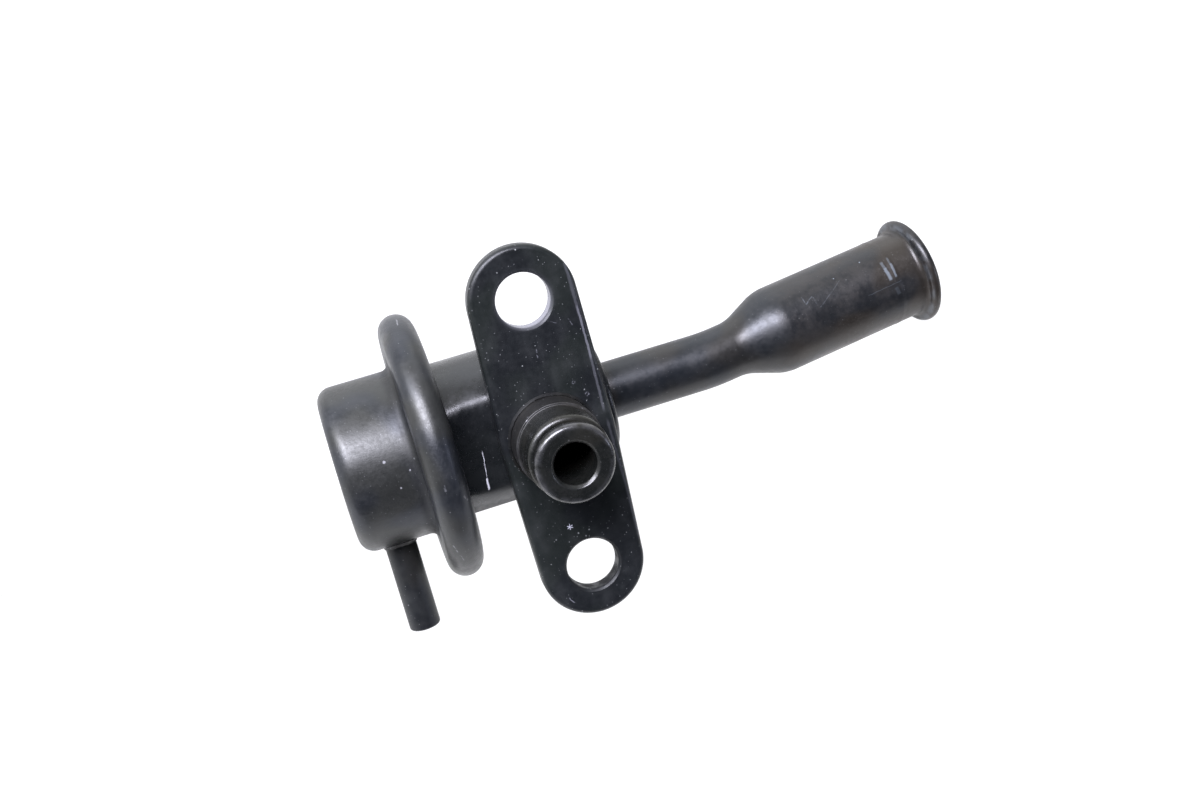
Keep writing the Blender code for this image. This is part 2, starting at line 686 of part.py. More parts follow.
def pipe_corners():
    """Outline of the straight pipe: plain tube, swaged taper, bell with a band, flared lip."""
    taper_end = TAPER_START_X + TAPER_LENGTH
    mouth = taper_end + BELL_LENGTH
    band = mouth - BAND_FROM_MOUTH
    half_band = BAND_WIDTH / 2
    bell_bore = BELL_RADIUS - PIPE_WALL
    bend_end = BEND_START_X + BEND_RADIUS * math.radians(BEND_ANGLE)
    bend_steps = 3
    bend_rings = [
        BEND_START_X + (bend_end - BEND_START_X) * step / bend_steps for step in range(bend_steps + 1)
    ]
    outside = [(PIPE_INNER_END_X, PIPE_RADIUS)]
    outside += [(ring, PIPE_RADIUS) for ring in bend_rings]
    outside += [
        (TAPER_START_X, PIPE_RADIUS, TAPER_LENGTH),
        (taper_end, BELL_RADIUS, SHOULDER_ROUND),
        (band - half_band, BELL_RADIUS),
        (band, BELL_RADIUS + BAND_HEIGHT),
        (band + half_band, BELL_RADIUS),
        (mouth - LIP_THICKNESS, BELL_RADIUS, 0.0008),
        (mouth - LIP_THICKNESS, LIP_RADIUS, LIP_THICKNESS / 2),
        (mouth, LIP_RADIUS, LIP_THICKNESS / 2),
    ]
    inside = [
        (mouth, bell_bore, LIP_THICKNESS),
        (taper_end, bell_bore, SHOULDER_ROUND),
        (TAPER_START_X, PIPE_BORE_RADIUS, TAPER_LENGTH),
    ]
    inside += [(ring, PIPE_BORE_RADIUS) for ring in reversed(bend_rings)]
    inside += [(PIPE_INNER_END_X, PIPE_BORE_RADIUS)]
    return outside + inside


def build_return_pipe(parts, surface):
    """Turn the straight pipe, then bend it."""
    pipe = baked(turned("return_pipe", pipe_corners(), PIPE_STEPS, parts, surface))
    for vertex in pipe.data.vertices:
        vertex.co = bent(vertex.co)
    return smooth(place(pipe, BODY_ORIGIN, ALONG_BODY))


def build_return_braze(parts, surface):
    """Braze ring where the pipe leaves the boss."""
    corners = braze_corners(BOSS_END_X + JOINT_GAP, PIPE_RADIUS + JOINT_GAP)
    ring = turned("return_braze", corners, PIPE_STEPS, parts, surface)
    return smooth(place(ring, BODY_ORIGIN, ALONG_BODY))


def build_valve_seat(parts, surface):
    """Turned seat: a nose with a narrow lip, a flange, and a shank pressed into the pipe."""
    shank_radius = PIPE_BORE_RADIUS - JOINT_GAP
    shank_start = SEAT_FLANGE_X + SEAT_FLANGE_THICKNESS
    corners = [
        (SEAT_LIP_X, SEAT_BORE_RADIUS),
        (SEAT_LIP_X, SEAT_LIP_RADIUS),
        (SEAT_LIP_X + SEAT_NOSE_LENGTH / 2, SEAT_NOSE_RADIUS),
        (SEAT_FLANGE_X, SEAT_NOSE_RADIUS),
        (SEAT_FLANGE_X, PIPE_RADIUS),
        (shank_start, PIPE_RADIUS),
        (shank_start, shank_radius),
        (shank_start + SEAT_SHANK_LENGTH, shank_radius),
        (shank_start + SEAT_SHANK_LENGTH, SEAT_BORE_RADIUS),
    ]
    seat = turned("valve_seat", corners, SMALL_STEPS, parts, surface)
    return smooth(place(seat, BODY_ORIGIN, ALONG_BODY))


# Diaphragm stack

def build_diaphragm(parts, surface):
    """Rubbered fabric disc with one roll between its hub and its thick clamped rim."""
    rim_inner = ROLL_RADIUS + DIAPHRAGM_RIM_THICKNESS / 2
    middle = (HUB_RADIUS + ROLL_RADIUS) / 2
    half_roll = (ROLL_RADIUS - HUB_RADIUS) / 2
    corners = [
        (WEB_LEFT_X, STEM_HOLE_RADIUS),
        (WEB_LEFT_X, HUB_RADIUS),
        (WEB_LEFT_X - ROLL_HEIGHT, middle, half_roll),
        (WEB_LEFT_X, ROLL_RADIUS),
        (RIM_LEFT_X, rim_inner),
        (RIM_LEFT_X, DIAPHRAGM_RIM_RADIUS),
        (RIM_RIGHT_X, DIAPHRAGM_RIM_RADIUS),
        (RIM_RIGHT_X, rim_inner),
        (WEB_RIGHT_X, ROLL_RADIUS),
        (WEB_RIGHT_X - ROLL_HEIGHT, middle, half_roll),
        (WEB_RIGHT_X, HUB_RADIUS),
        (WEB_RIGHT_X, STEM_HOLE_RADIUS),
    ]
    diaphragm = turned("diaphragm", corners, BODY_STEPS, parts, surface)
    return smooth(place(diaphragm, BODY_ORIGIN, ALONG_BODY))


def build_spring_plate(parts, surface):
    """Dished plate with a turned-up rim that keeps the spring in the middle."""
    face = SPRING_PLATE_X
    back = SPRING_PLATE_X + SPRING_PLATE_THICKNESS
    rim_top = SPRING_PLATE_X - SPRING_PLATE_RIM_HEIGHT
    rim_inner = SPRING_PLATE_RADIUS - SPRING_PLATE_THICKNESS
    corners = [
        (face, STEM_HOLE_RADIUS),
        (face, rim_inner),
        (rim_top, rim_inner),
        (rim_top, SPRING_PLATE_RADIUS),
        (back, SPRING_PLATE_RADIUS, SPRING_PLATE_THICKNESS),
        (back, STEM_HOLE_RADIUS),
    ]
    plate = turned("spring_plate", corners, PIPE_STEPS, parts, surface)
    return smooth(place(plate, BODY_ORIGIN, ALONG_BODY))


def build_flat_washer(name, start, thickness, radius, steps, parts, surface):
    """Plain washer on the holder's stem."""
    corners = [
        (start, STEM_HOLE_RADIUS),
        (start, radius),
        (start + thickness, radius, thickness / 2),
        (start + thickness, STEM_HOLE_RADIUS),
    ]
    washer = turned(name, corners, steps, parts, surface)
    return smooth(place(washer, BODY_ORIGIN, ALONG_BODY))


def build_valve_holder(parts, surface):
    """Turned holder: pocket for the valve plate, socket for the ball, stem and riveted head."""
    counterbore = RETAINER_RADIUS + JOINT_GAP
    stem_end = RIVET_HEAD_X + RIVET_HEAD_THICKNESS
    corners = [
        (RIVET_HEAD_X, 0),
        (RIVET_HEAD_X, RIVET_HEAD_RADIUS, RIVET_HEAD_THICKNESS / 2),
        (stem_end, RIVET_HEAD_RADIUS),
        (stem_end, STEM_RADIUS),
        (HOLDER_X, STEM_RADIUS),
        (HOLDER_X, HOLDER_RADIUS),
        (HOLDER_END_X, HOLDER_RADIUS),
        (HOLDER_END_X, counterbore),
        (RETAINER_X - JOINT_GAP, counterbore),
        (RETAINER_X - JOINT_GAP, POCKET_RADIUS),
        (POCKET_FLOOR_X, POCKET_RADIUS),
        (POCKET_FLOOR_X, SOCKET_RADIUS),
        (SOCKET_FLOOR_X, SOCKET_RADIUS),
        (SOCKET_FLOOR_X, 0),
    ]
    holder = turned("valve_holder", corners, SMALL_STEPS, parts, surface, closed=False)
    return smooth(place(holder, BODY_ORIGIN, ALONG_BODY))


def build_valve_ball(parts, surface):
    """Steel ball, with its origin at its centre."""
    mesh = bpy.data.meshes.new("valve_ball")
    shape = bmesh.new()
    bmesh.ops.create_uvsphere(shape, u_segments=16, v_segments=10, radius=BALL_RADIUS)
    shape.to_mesh(mesh)
    shape.free()
    ball = add_object("valve_ball", mesh, parts, surface)
    return smooth(place(ball, (BALL_X, BODY_Y, BODY_RISE), ALONG_BODY))


def build_valve_plate(parts, surface):
    """Flat valve disc with a round dimple for the ball; it turns about the ball's centre."""
    dimple = BALL_RADIUS + BALL_GAP
    mouth_depth = VALVE_BACK_X - BALL_X
    mouth_angle = math.acos(mouth_depth / dimple)
    dimple_steps = 3
    face = VALVE_FACE_X - BALL_X
    corners = [(face, 0), (face, VALVE_PLATE_RADIUS), (mouth_depth, VALVE_PLATE_RADIUS)]
    for step in range(dimple_steps + 1):
        angle = mouth_angle * (1 - step / dimple_steps)
        corners.append((dimple * math.cos(angle), dimple * math.sin(angle)))
    plate = turned("valve_plate", corners, SMALL_STEPS, parts, surface, closed=False)
    return smooth(place(plate, (BALL_X, BODY_Y, BODY_RISE), ALONG_BODY))


def build_valve_retainer(parts, surface):
    """Ring staked into the holder's mouth; the seat's nose passes through it."""
    inner = SEAT_NOSE_RADIUS + RING_GAP
    corners = [
        (RETAINER_X, inner),
        (RETAINER_X, RETAINER_RADIUS),
        (RETAINER_END_X, RETAINER_RADIUS),
        (RETAINER_END_X, inner),
    ]
    ring = turned("valve_retainer", corners, SMALL_STEPS, parts, surface)
    return smooth(place(ring, BODY_ORIGIN, ALONG_BODY))


# Springs

def build_main_spring(parts, surface):
    """Compression spring between the closed end of the cover and the spring plate."""
    start = COVER_END_X + COVER_WALL + JOINT_GAP + SPRING_WIRE / 2
    end = SPRING_PLATE_X - JOINT_GAP - SPRING_WIRE / 2
    points = helix_points(
        SPRING_RADIUS, start, end, SPRING_WIRE, SPRING_END_TURNS, SPRING_ACTIVE_TURNS, 16
    )
    spring = wire_coil("main_spring", points, SPRING_WIRE, parts, surface)
    return place(spring, BODY_ORIGIN, ALONG_BODY)


def build_ball_spring(parts, surface):
    """Small spring between the socket's floor and the ball."""
    radius = SOCKET_RADIUS - JOINT_GAP - BALL_SPRING_WIRE / 2 - JOINT_GAP
    reach = BALL_RADIUS + BALL_GAP + BALL_SPRING_WIRE / 2
    end = BALL_X - math.sqrt(reach**2 - min(radius, 0.8 * reach) ** 2)
    start = SOCKET_FLOOR_X + JOINT_GAP + BALL_SPRING_WIRE / 2
    points = helix_points(radius, start, end, BALL_SPRING_WIRE, 0, BALL_SPRING_TURNS, 14)
    spring = wire_coil("ball_spring", points, BALL_SPRING_WIRE, parts, surface)
    return place(spring, BODY_ORIGIN, ALONG_BODY)


def main():
    """Model every piece of the regulator."""
    clear_scene()
    parts = new_collection("fuel_pressure_regulator")
    cutters = new_collection("cutters")

    cup_finish = material("Cover black", (0.045, 0.048, 0.052), 0.6, 0.42)
    housing_finish = material("Housing black", (0.05, 0.05, 0.058), 0.6, 0.38)
    plate_finish = material("Plate black", (0.022, 0.025, 0.028), 0.4, 0.5)
    spigot_finish = material("Spigot olive black", (0.05, 0.05, 0.045), 0.5, 0.4)
    braze_finish = material("Braze under black", (0.04, 0.038, 0.033), 0.4, 0.6)
    pipe_finish = material("Pipe black", (0.055, 0.053, 0.052), 0.6, 0.4)
    nipple_finish = material("Nipple black", (0.035, 0.037, 0.04), 0.5, 0.45)
    spring_steel = material("Spring steel", (0.28, 0.27, 0.26), 1.0, 0.35)
    plated_steel = material("Plated steel", (0.55, 0.53, 0.46), 1.0, 0.3)
    polished_steel = material("Polished steel", (0.62, 0.62, 0.62), 1.0, 0.12)
    brass = material("Brass", (0.72, 0.52, 0.24), 1.0, 0.28)
    rubber = material("Diaphragm rubber", (0.02, 0.02, 0.02), 0.0, 0.75)

    build_flange_plate(parts, cutters, plate_finish)
    build_inlet_spigot(parts, spigot_finish)
    build_spigot_braze(parts, braze_finish)
    build_fuel_housing(parts, cutters, housing_finish)
    build_spring_cover(parts, cutters, cup_finish)
    build_vacuum_nipple(parts, nipple_finish)
    build_nipple_braze(parts, cutters, braze_finish)
    build_return_pipe(parts, pipe_finish)
    build_return_braze(parts, braze_finish)
    build_valve_seat(parts, brass)
    build_diaphragm(parts, rubber)
    build_spring_plate(parts, plated_steel)
    build_flat_washer(
        "support_washer", SUPPORT_WASHER_X, SUPPORT_WASHER_THICKNESS, SUPPORT_WASHER_RADIUS,
        PIPE_STEPS, parts, plated_steel,
    )
    build_flat_washer(
        "stem_washer", STEM_WASHER_X, STEM_WASHER_THICKNESS, STEM_WASHER_RADIUS,
        SMALL_STEPS, parts, plated_steel,
    )
    build_valve_holder(parts, brass)
    build_valve_ball(parts, polished_steel)
    build_valve_plate(parts, polished_steel)
    build_valve_retainer(parts, plated_steel)
    build_main_spring(parts, spring_steel)
    build_ball_spring(parts, spring_steel)


main()
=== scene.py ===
"""Looks of a fuel pressure regulator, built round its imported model.

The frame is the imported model's own, in metres. The flange's mounting face lies in the plane Y = 0 with
the origin on the inlet spigot's axis, the spigot points to -Y, and the body's axis is parallel to X:
the spring chamber towards -X, the return pipe towards +X and the vacuum nipple towards -Z.
Sizes of the pieces are given in millimetres.
"""

import json
import logging
import math
from dataclasses import dataclass
from enum import Enum
from typing import Iterable, Sequence

import bmesh
import bpy
from mathutils import Euler, Matrix, Vector, noise

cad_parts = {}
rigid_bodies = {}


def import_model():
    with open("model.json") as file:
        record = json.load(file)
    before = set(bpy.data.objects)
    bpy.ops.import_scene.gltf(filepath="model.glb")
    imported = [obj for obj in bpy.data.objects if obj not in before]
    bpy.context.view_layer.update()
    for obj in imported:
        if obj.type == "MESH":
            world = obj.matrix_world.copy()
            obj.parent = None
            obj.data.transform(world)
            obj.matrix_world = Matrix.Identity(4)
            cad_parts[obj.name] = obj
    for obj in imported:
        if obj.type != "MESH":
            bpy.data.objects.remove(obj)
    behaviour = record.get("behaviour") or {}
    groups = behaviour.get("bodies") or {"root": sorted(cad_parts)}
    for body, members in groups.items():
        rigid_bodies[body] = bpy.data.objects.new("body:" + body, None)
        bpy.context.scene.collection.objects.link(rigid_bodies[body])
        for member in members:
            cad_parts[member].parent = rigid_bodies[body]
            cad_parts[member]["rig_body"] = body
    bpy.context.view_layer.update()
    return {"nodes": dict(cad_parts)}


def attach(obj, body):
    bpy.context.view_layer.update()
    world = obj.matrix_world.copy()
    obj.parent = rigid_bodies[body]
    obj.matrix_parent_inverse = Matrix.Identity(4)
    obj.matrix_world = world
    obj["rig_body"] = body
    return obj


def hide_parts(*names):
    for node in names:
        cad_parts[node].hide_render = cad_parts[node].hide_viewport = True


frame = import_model()

LOG = logging.getLogger("regulator")
MM = 0.001
WELD = 1e-7
FULL_TURN = 2 * math.pi
INTO_PLATE = Matrix.Rotation(math.radians(-90), 4, "X")

Colour = tuple[float, float, float]
Point = tuple[float, float, float]

DUST: Colour = (0.40, 0.41, 0.41)
# Near-black colour of painted shade, laid in a crease and a screw hole.
PAINTED_SHADE: Colour = (0.004, 0.0045, 0.005)
PITTED: Colour = (0.05, 0.045, 0.04)
WHITE: Colour = (1.0, 1.0, 1.0)


class Line(Enum):
    """Axes that the round pieces are turned about: a point in millimetres and turns in degrees."""

    BODY = ((0.0, 11.9, 0.65), (0.0, 90.0, 0.0))
    SPIGOT = ((0.0, 0.0, 0.0), (90.0, 0.0, 0.0))
    NIPPLE = ((-23.3, 11.9, 0.65), (175.0, 0.0, 0.0))
    BELL = ((49.83, 13.45, 3.04), (0.0, 84.217, 3.771))
    UPPER_HOLE = ((0.75, 1.4, 19.0), (90.0, 0.0, 0.0))
    LOWER_HOLE = ((0.75, 1.4, -19.0), (90.0, 0.0, 0.0))

    def matrix(self) -> Matrix:
        """Places a form that was turned about Z on this axis."""
        turns = Euler([math.radians(turn) for turn in self.value[1]])
        return Matrix.LocRotScale(Vector(self.value[0]) * MM, turns, None)

    @property
    def origin(self) -> Vector:
        """A point of the axis, in metres."""
        return self.matrix().to_translation()

    @property
    def direction(self) -> Vector:
        """The way in which a place along the axis grows."""
        return self.matrix().to_3x3() @ Vector((0, 0, 1))


# Shader expressions


class Signal:
    """An output socket of a node tree that can be used in sums."""

    def __init__(self, tree: "Tree", socket: bpy.types.NodeSocket) -> None:
        """Wraps one socket."""
        self.tree = tree
        self.socket = socket

    def _math(self, operation: str, *values: "Signal | float") -> "Signal":
        """Adds a Math node that reads these values in this order."""
        return self.tree.signal("ShaderNodeMath", {"operation": operation}, dict(enumerate(values)))

    def __add__(self, other: "Signal | float") -> "Signal":
        """self + other."""
        return self._math("ADD", self, other)

    def __radd__(self, other: float) -> "Signal":
        """other + self."""
        return self._math("ADD", other, self)

    def __sub__(self, other: "Signal | float") -> "Signal":
        """self - other."""
        return self._math("SUBTRACT", self, other)

    def __rsub__(self, other: float) -> "Signal":
        """other - self."""
        return self._math("SUBTRACT", other, self)

    def __mul__(self, other: "Signal | float") -> "Signal":
        """self * other."""
        return self._math("MULTIPLY", self, other)

    def __rmul__(self, other: float) -> "Signal":
        """other * self."""
        return self._math("MULTIPLY", other, self)

    def __truediv__(self, other: "Signal | float") -> "Signal":
        """self / other."""
        return self._math("DIVIDE", self, other)

    def __pow__(self, other: "Signal | float") -> "Signal":
        """self ** other."""
        return self._math("POWER", self, other)

    def __abs__(self) -> "Signal":
        """The size of self."""
        return self._math("ABSOLUTE", self)

    def sine(self) -> "Signal":
        """The sine of self, in radians."""
        return self._math("SINE", self)

    def largest(self, other: "Signal | float") -> "Signal":
        """The larger of self and other."""
        return self._math("MAXIMUM", self, other)

    def held(self) -> "Signal":
        """self, kept from 0 to 1."""
        return self._math("MINIMUM", self._math("MAXIMUM", self, 0.0), 1.0)

    def fade(self, start: float, end: float) -> "Signal":
        """Runs smoothly from 0 where self is start to 1 where it is end."""
        limits = {"Value": self, "From Min": start, "From Max": end}
        return self.tree.signal("ShaderNodeMapRange", {"interpolation_type": "SMOOTHSTEP"}, limits)


class Tree:
    """The nodes of one material or of the world."""

    def __init__(self, nodes: bpy.types.NodeTree) -> None:
        """Starts from an empty tree."""
        self.tree = nodes
        self.tree.nodes.clear()
        self.place = self.signal("ShaderNodeTexCoord", {}, {}, "Object")

    def node(self, kind: str, settings: dict, inputs: dict) -> bpy.types.Node:
        """Adds one node.

        Args:
            kind: The node's type.
            settings: Its properties, which are set first.
            inputs: Values or signals of its sockets, by name or number.

        Returns:
            The node.
        """
        made = self.tree.nodes.new(kind)
        for name, value in settings.items():
            setattr(made, name, value)
        for name, value in inputs.items():
            if isinstance(value, Signal):
                self.tree.links.new(value.socket, made.inputs[name])
            else:
                made.inputs[name].default_value = value
        return made

    def signal(self, kind: str, settings: dict, inputs: dict, output: int | str = 0) -> Signal:
        """Adds one node and returns one of its outputs."""
        return Signal(self, self.node(kind, settings, inputs).outputs[output])

    def vector(self, operation: str, *values: "Signal | Point", output: int = 0) -> Signal:
        """Adds a Vector Math node that reads these values in this order."""
        return self.signal("ShaderNodeVectorMath", {"operation": operation}, dict(enumerate(values)), output)

    def scaled(self, vector: "Signal | Point", factor: "Signal | float") -> Signal:
        """A vector times a number."""
        return self.signal("ShaderNodeVectorMath", {"operation": "SCALE"}, {0: vector, "Scale": factor})

    def blend(self, factor: "Signal | float", first: "Signal | Colour", second: "Signal | Colour") -> Signal:
        """Mixes two colours: the first where the factor is 0."""
        whole = [c if isinstance(c, Signal) else (*c, 1.0) for c in (first, second)]
        return self.signal("ShaderNodeMix", {"data_type": "RGBA"}, {0: factor, 6: whole[0], 7: whole[1]}, 2)

    def cloud(self, size: float, detail: float = 2.0, stretch: Point = (1, 1, 1)) -> Signal:
        """Soft noise from 0 to 1 whose spots are about size millimetres across."""
        where = self.vector("MULTIPLY", self.place, stretch)
        inputs = {"Vector": where, "Scale": 1 / (size * MM), "Detail": detail}
        return self.signal("ShaderNodeTexNoise", {}, inputs)

    def specks(self, spacing: float, radius: float, share: float) -> Signal:
        """Small round specks: 1 inside a speck and 0 outside.

        Args:
            spacing: Distance between the places where a speck may be, in millimetres.
            radius: Largest radius of a speck, as a share of the spacing.
            share: Share of the places that have one.

        Returns:
            The specks' mask.
        """
        cells = self.node("ShaderNodeTexVoronoi", {}, {"Vector": self.place, "Scale": 1 / (spacing * MM)})
        draw = self.vector("DOT_PRODUCT", Signal(self, cells.outputs["Color"]), (1, 0, 0), output=1)
        size = ((draw - (1 - share)) / share).held() * radius + 0.001
        return (1 - Signal(self, cells.outputs["Distance"]) / size).fade(0.0, 0.45)

    def from_line(self, line: Line) -> tuple[Signal, Signal]:
        """Place along an axis and distance from it, both in metres."""
        away = self.vector("SUBTRACT", self.place, tuple(line.origin))
        along = self.vector("DOT_PRODUCT", away, tuple(line.direction), output=1)
        foot = self.scaled(tuple(line.direction), along)
        out = self.vector("LENGTH", self.vector("SUBTRACT", away, foot), output=1)
        return along, out

    def surface(self, height: Signal, sockets: dict) -> None:
        """Ends a material with its bump, shader and output.

        Args:
            height: Height of the fine relief, in millimetres.
            sockets: The shader's other inputs, by name.
        """
        bump = self.signal("ShaderNodeBump", {}, {"Strength": 1.0, "Distance": MM, "Height": height})
        shader = self.signal("ShaderNodeBsdfPrincipled", {}, {**sockets, "Normal": bump})
        self.node("ShaderNodeOutputMaterial", {}, {"Surface": shader})


# Marks of use, and painted highlights and shade drawn as marks


@dataclass(frozen=True)
class ScratchAndGlint:
    """A fine line from one point to another, in millimetres: a scratch in the coat, or on some coats a solid
    painted highlight.
    """

    start: Point
    end: Point
    width: float = 0.14
    strength: float = 0.6
    around: Line | None = None
    solid: bool = False

    def outward(self) -> Vector:
        """The way that the marked surface faces: from its axis, or to the front on the plate."""
        if self.around is None:
            return Vector((0, -1, 0))
        middle = (Vector(self.start) + Vector(self.end)) / 2 - self.around.origin / MM
        return (middle - self.around.direction * middle.dot(self.around.direction)).normalized()

    def mask(self, tree: Tree) -> Signal:
        """How strongly the line shows at each place; it wanders, and is broken unless solid."""
        start, end = Vector(self.start) * MM, Vector(self.end) * MM
        way, out = end - start, self.outward()
        side = way.cross(out).normalized()
        from_start = tree.vector("SUBTRACT", tree.place, tuple(start))
        from_middle = tree.vector("SUBTRACT", tree.place, tuple((start + end) / 2))
        off = tree.vector("DOT_PRODUCT", from_start, tuple(side), output=1)
        wander = (tree.cloud(0.8, 3.0) - 0.5) * (0.28 * MM)
        share = tree.vector("DOT_PRODUCT", from_start, tuple(way / way.length_squared), output=1)
        depth = tree.vector("DOT_PRODUCT", from_middle, tuple(out), output=1)
        line = abs(off + wander).fade(0.6 * self.width * MM, 0.2 * self.width * MM)
        ends = abs(share - 0.5).fade(0.52, 0.40)
        near = abs(depth).fade(1.2 * MM, 0.8 * MM)
        if self.solid:
            return line * ends * near * self.strength
        broken = tree.cloud(0.5, 2.0).fade(0.36, 0.52)
        return line * ends * near * broken * self.strength


@dataclass(frozen=True)
class Speck:
    """A single light speck in the coat: a place and a radius in millimetres."""

    place: Point
    radius: float = 0.12
    strength: float = 0.8

    def mask(self, tree: Tree) -> Signal:
        """How strongly the speck shows at each place."""
        away = tree.vector("SUBTRACT", tree.place, tuple(Vector(self.place) * MM))
        uneven = (tree.cloud(0.12, 1.0) - 0.5) * (0.12 * MM)
        distance = tree.vector("LENGTH", away, output=1) + uneven
        return distance.fade(1.2 * self.radius * MM, 0.6 * self.radius * MM) * self.strength


@dataclass(frozen=True)
class Pit:
    """A small round dent whose rim is rubbed light: a place and a radius in millimetres."""

    place: Point
    radius: float = 0.3
    strength: float = 0.5

    def mask(self, tree: Tree) -> Signal:
        """How strongly the rim shows at each place."""
        away = tree.vector("SUBTRACT", tree.place, tuple(Vector(self.place) * MM))
        uneven = (tree.cloud(0.3, 2.0) - 0.5) * (0.3 * MM)
        distance = tree.vector("LENGTH", away, output=1) + uneven
        broken = tree.cloud(0.35, 2.0).fade(0.42, 0.58)
        rim = abs(distance - self.radius * MM).fade(0.12 * MM, 0.03 * MM)
        return rim * broken * self.strength


@dataclass(frozen=True)
class WearAndShadeRing:
    """A ring about an axis: among the marks, where the coat is rubbed thin; as a coat's shade ring, a ring
    of painted shade.
    """

    line: Line
    along: float
    out: float
    width: float
    strength: float
    even: bool = False

    def mask(self, tree: Tree) -> Signal:
        """How strongly the ring shows at each place; it is patchy unless even."""
        along, out = tree.from_line(self.line)
        gap = ((along - self.along * MM) ** 2.0 + (out - self.out * MM) ** 2.0) ** 0.5
        ring = gap.fade(self.width * MM, 0.2 * self.width * MM) * self.strength
        return ring if self.even else ring * tree.cloud(1.3, 3.0).fade(0.32, 0.62)


# Finishes


def new_material(name: str) -> tuple[bpy.types.Material, Tree]:
    """Makes an empty material and its tree."""
    made = bpy.data.materials.new(name)
    made.use_nodes = True
    return made, Tree(made.node_tree)


@dataclass(frozen=True)
class ToneAndShadeChange:
    """Another colour of the coat past a place along an axis: a real tone on some pieces, painted shade on
    others; the change runs from start to end.
    """

    line: Line
    start: float
    end: float
    tint: Colour
    rougher: float = 0.0

    def mask(self, tree: Tree) -> Signal:
        """How far the colour has changed at each place."""
        along, _ = tree.from_line(self.line)
        uneven = (tree.cloud(3.0, 2.0) - 0.5) * (2.0 * MM)
        return (along + uneven).fade(self.start * MM, self.end * MM)


@dataclass(frozen=True)
class DarkCoat:
    """Thin dark coat on steel, with mottling, grain, dust, places where it is rubbed, and painted highlights
    and shade.
    """

    name: str
    colour: Colour
    second: Colour
    warm: Colour = (1.10, 1.0, 0.86)
    roughness: float = 0.42
    metallic: float = 0.5
    specular: float = 0.7
    grain: float = 0.35
    grain_depth: float = 0.5
    waves: float = 0.5
    dust: float = 0.8
    brushed: Point = (1, 1, 1)
    rings: Line | None = None
    marks: tuple = ()
    rub_and_glint_colour: Colour = (0.30, 0.30, 0.32)
    change: ToneAndShadeChange | None = None
    shade_ring: WearAndShadeRing | None = None

    def dusted(self, tree: Tree) -> Signal:
        """Dust: a few larger specks, many fine ones and a thin haze."""
        large = tree.specks(1.6, 0.105, 0.42) * 0.8
        middling = tree.specks(0.8, 0.17, 0.38) * 0.5
        fine = tree.specks(0.4, 0.26, 0.45) * 0.30
        haze = tree.cloud(3.5, 3.0).fade(0.45, 0.85) * 0.05
        return ((large.largest(middling).largest(fine) + haze) * self.dust).held()

    def worn(self, tree: Tree) -> Signal:
        """Every mark together: marks of use, and painted highlights where a coat has them."""
        masks = [mark.mask(tree) for mark in self.marks]
        for mask in masks[1:]:
            masks[0] = masks[0].largest(mask)
        return masks[0]

    def material(self) -> bpy.types.Material:
        """Builds the material.

        Returns:
            The finished material.
        """
        made, tree = new_material(self.name)
        mottle = (tree.cloud(4.0, 4.0) * 0.6 + tree.cloud(0.8, 4.0) * 0.4).fade(0.36, 0.66)
        grain = tree.cloud(self.grain, 3.0, self.brushed)
        fine = tree.cloud(0.26, 2.0)
        dust = self.dusted(tree)
        colour = tree.blend(mottle, self.colour, self.second)
        warmed = tuple(value * tint for value, tint in zip(self.second, self.warm))
        colour = tree.blend(tree.cloud(9.0, 1.0).fade(0.44, 0.60) * 0.8, colour, warmed)
        rough = self.roughness + (mottle - 0.5) * 0.11 + (grain - 0.5) * 0.16 + dust * 0.25
        # A change of colour past a place along an axis: a real tone on the bell and the spigot's collar,
        # painted shade on the housing's underside.
        if self.change:
            changed = self.change.mask(tree)
            colour = tree.blend(changed, colour, tree.vector("MULTIPLY", colour, self.change.tint))
            rough = rough + changed * self.change.rougher
        # Painted shade: a ring darkened towards near black, in the cup's crease beside the bead and in the
        # lower screw hole.
        if self.shade_ring:
            shaded = self.shade_ring.mask(tree)
            colour = tree.blend(shaded, colour, PAINTED_SHADE)
            rough = rough + shaded * 0.30
        colour = tree.blend(dust, colour, DUST)
        height = grain * (0.012 * self.grain_depth) + fine * (0.016 * self.grain_depth)
        waves = tree.cloud(5.0, 1.0) * 0.04 + tree.cloud(1.5, 2.0) * 0.016
        height = height + waves * self.waves + dust * 0.006
        metallic = self.metallic
        if self.rings:
            along, out = tree.from_line(self.rings)
            height = height + (along * 21000.0 + out * 16000.0).sine() * 0.0007
        # The marks: scratches, specks, pits and rubbed rings, and on the plate, the housing and the bell
        # also painted highlight lines, all in the rub and glint colour.
        if self.marks:
            worn = self.worn(tree)
            colour = tree.blend(worn, colour, self.rub_and_glint_colour)
            rough = rough - worn * 0.08
            height = height - worn * 0.006
            metallic = self.metallic * (1 - worn)
        sockets = {
            "Base Color": colour,
            "Roughness": rough.held(),
            "Metallic": metallic,
            "Specular IOR Level": self.specular,
        }
        tree.surface(height, sockets)
        return made


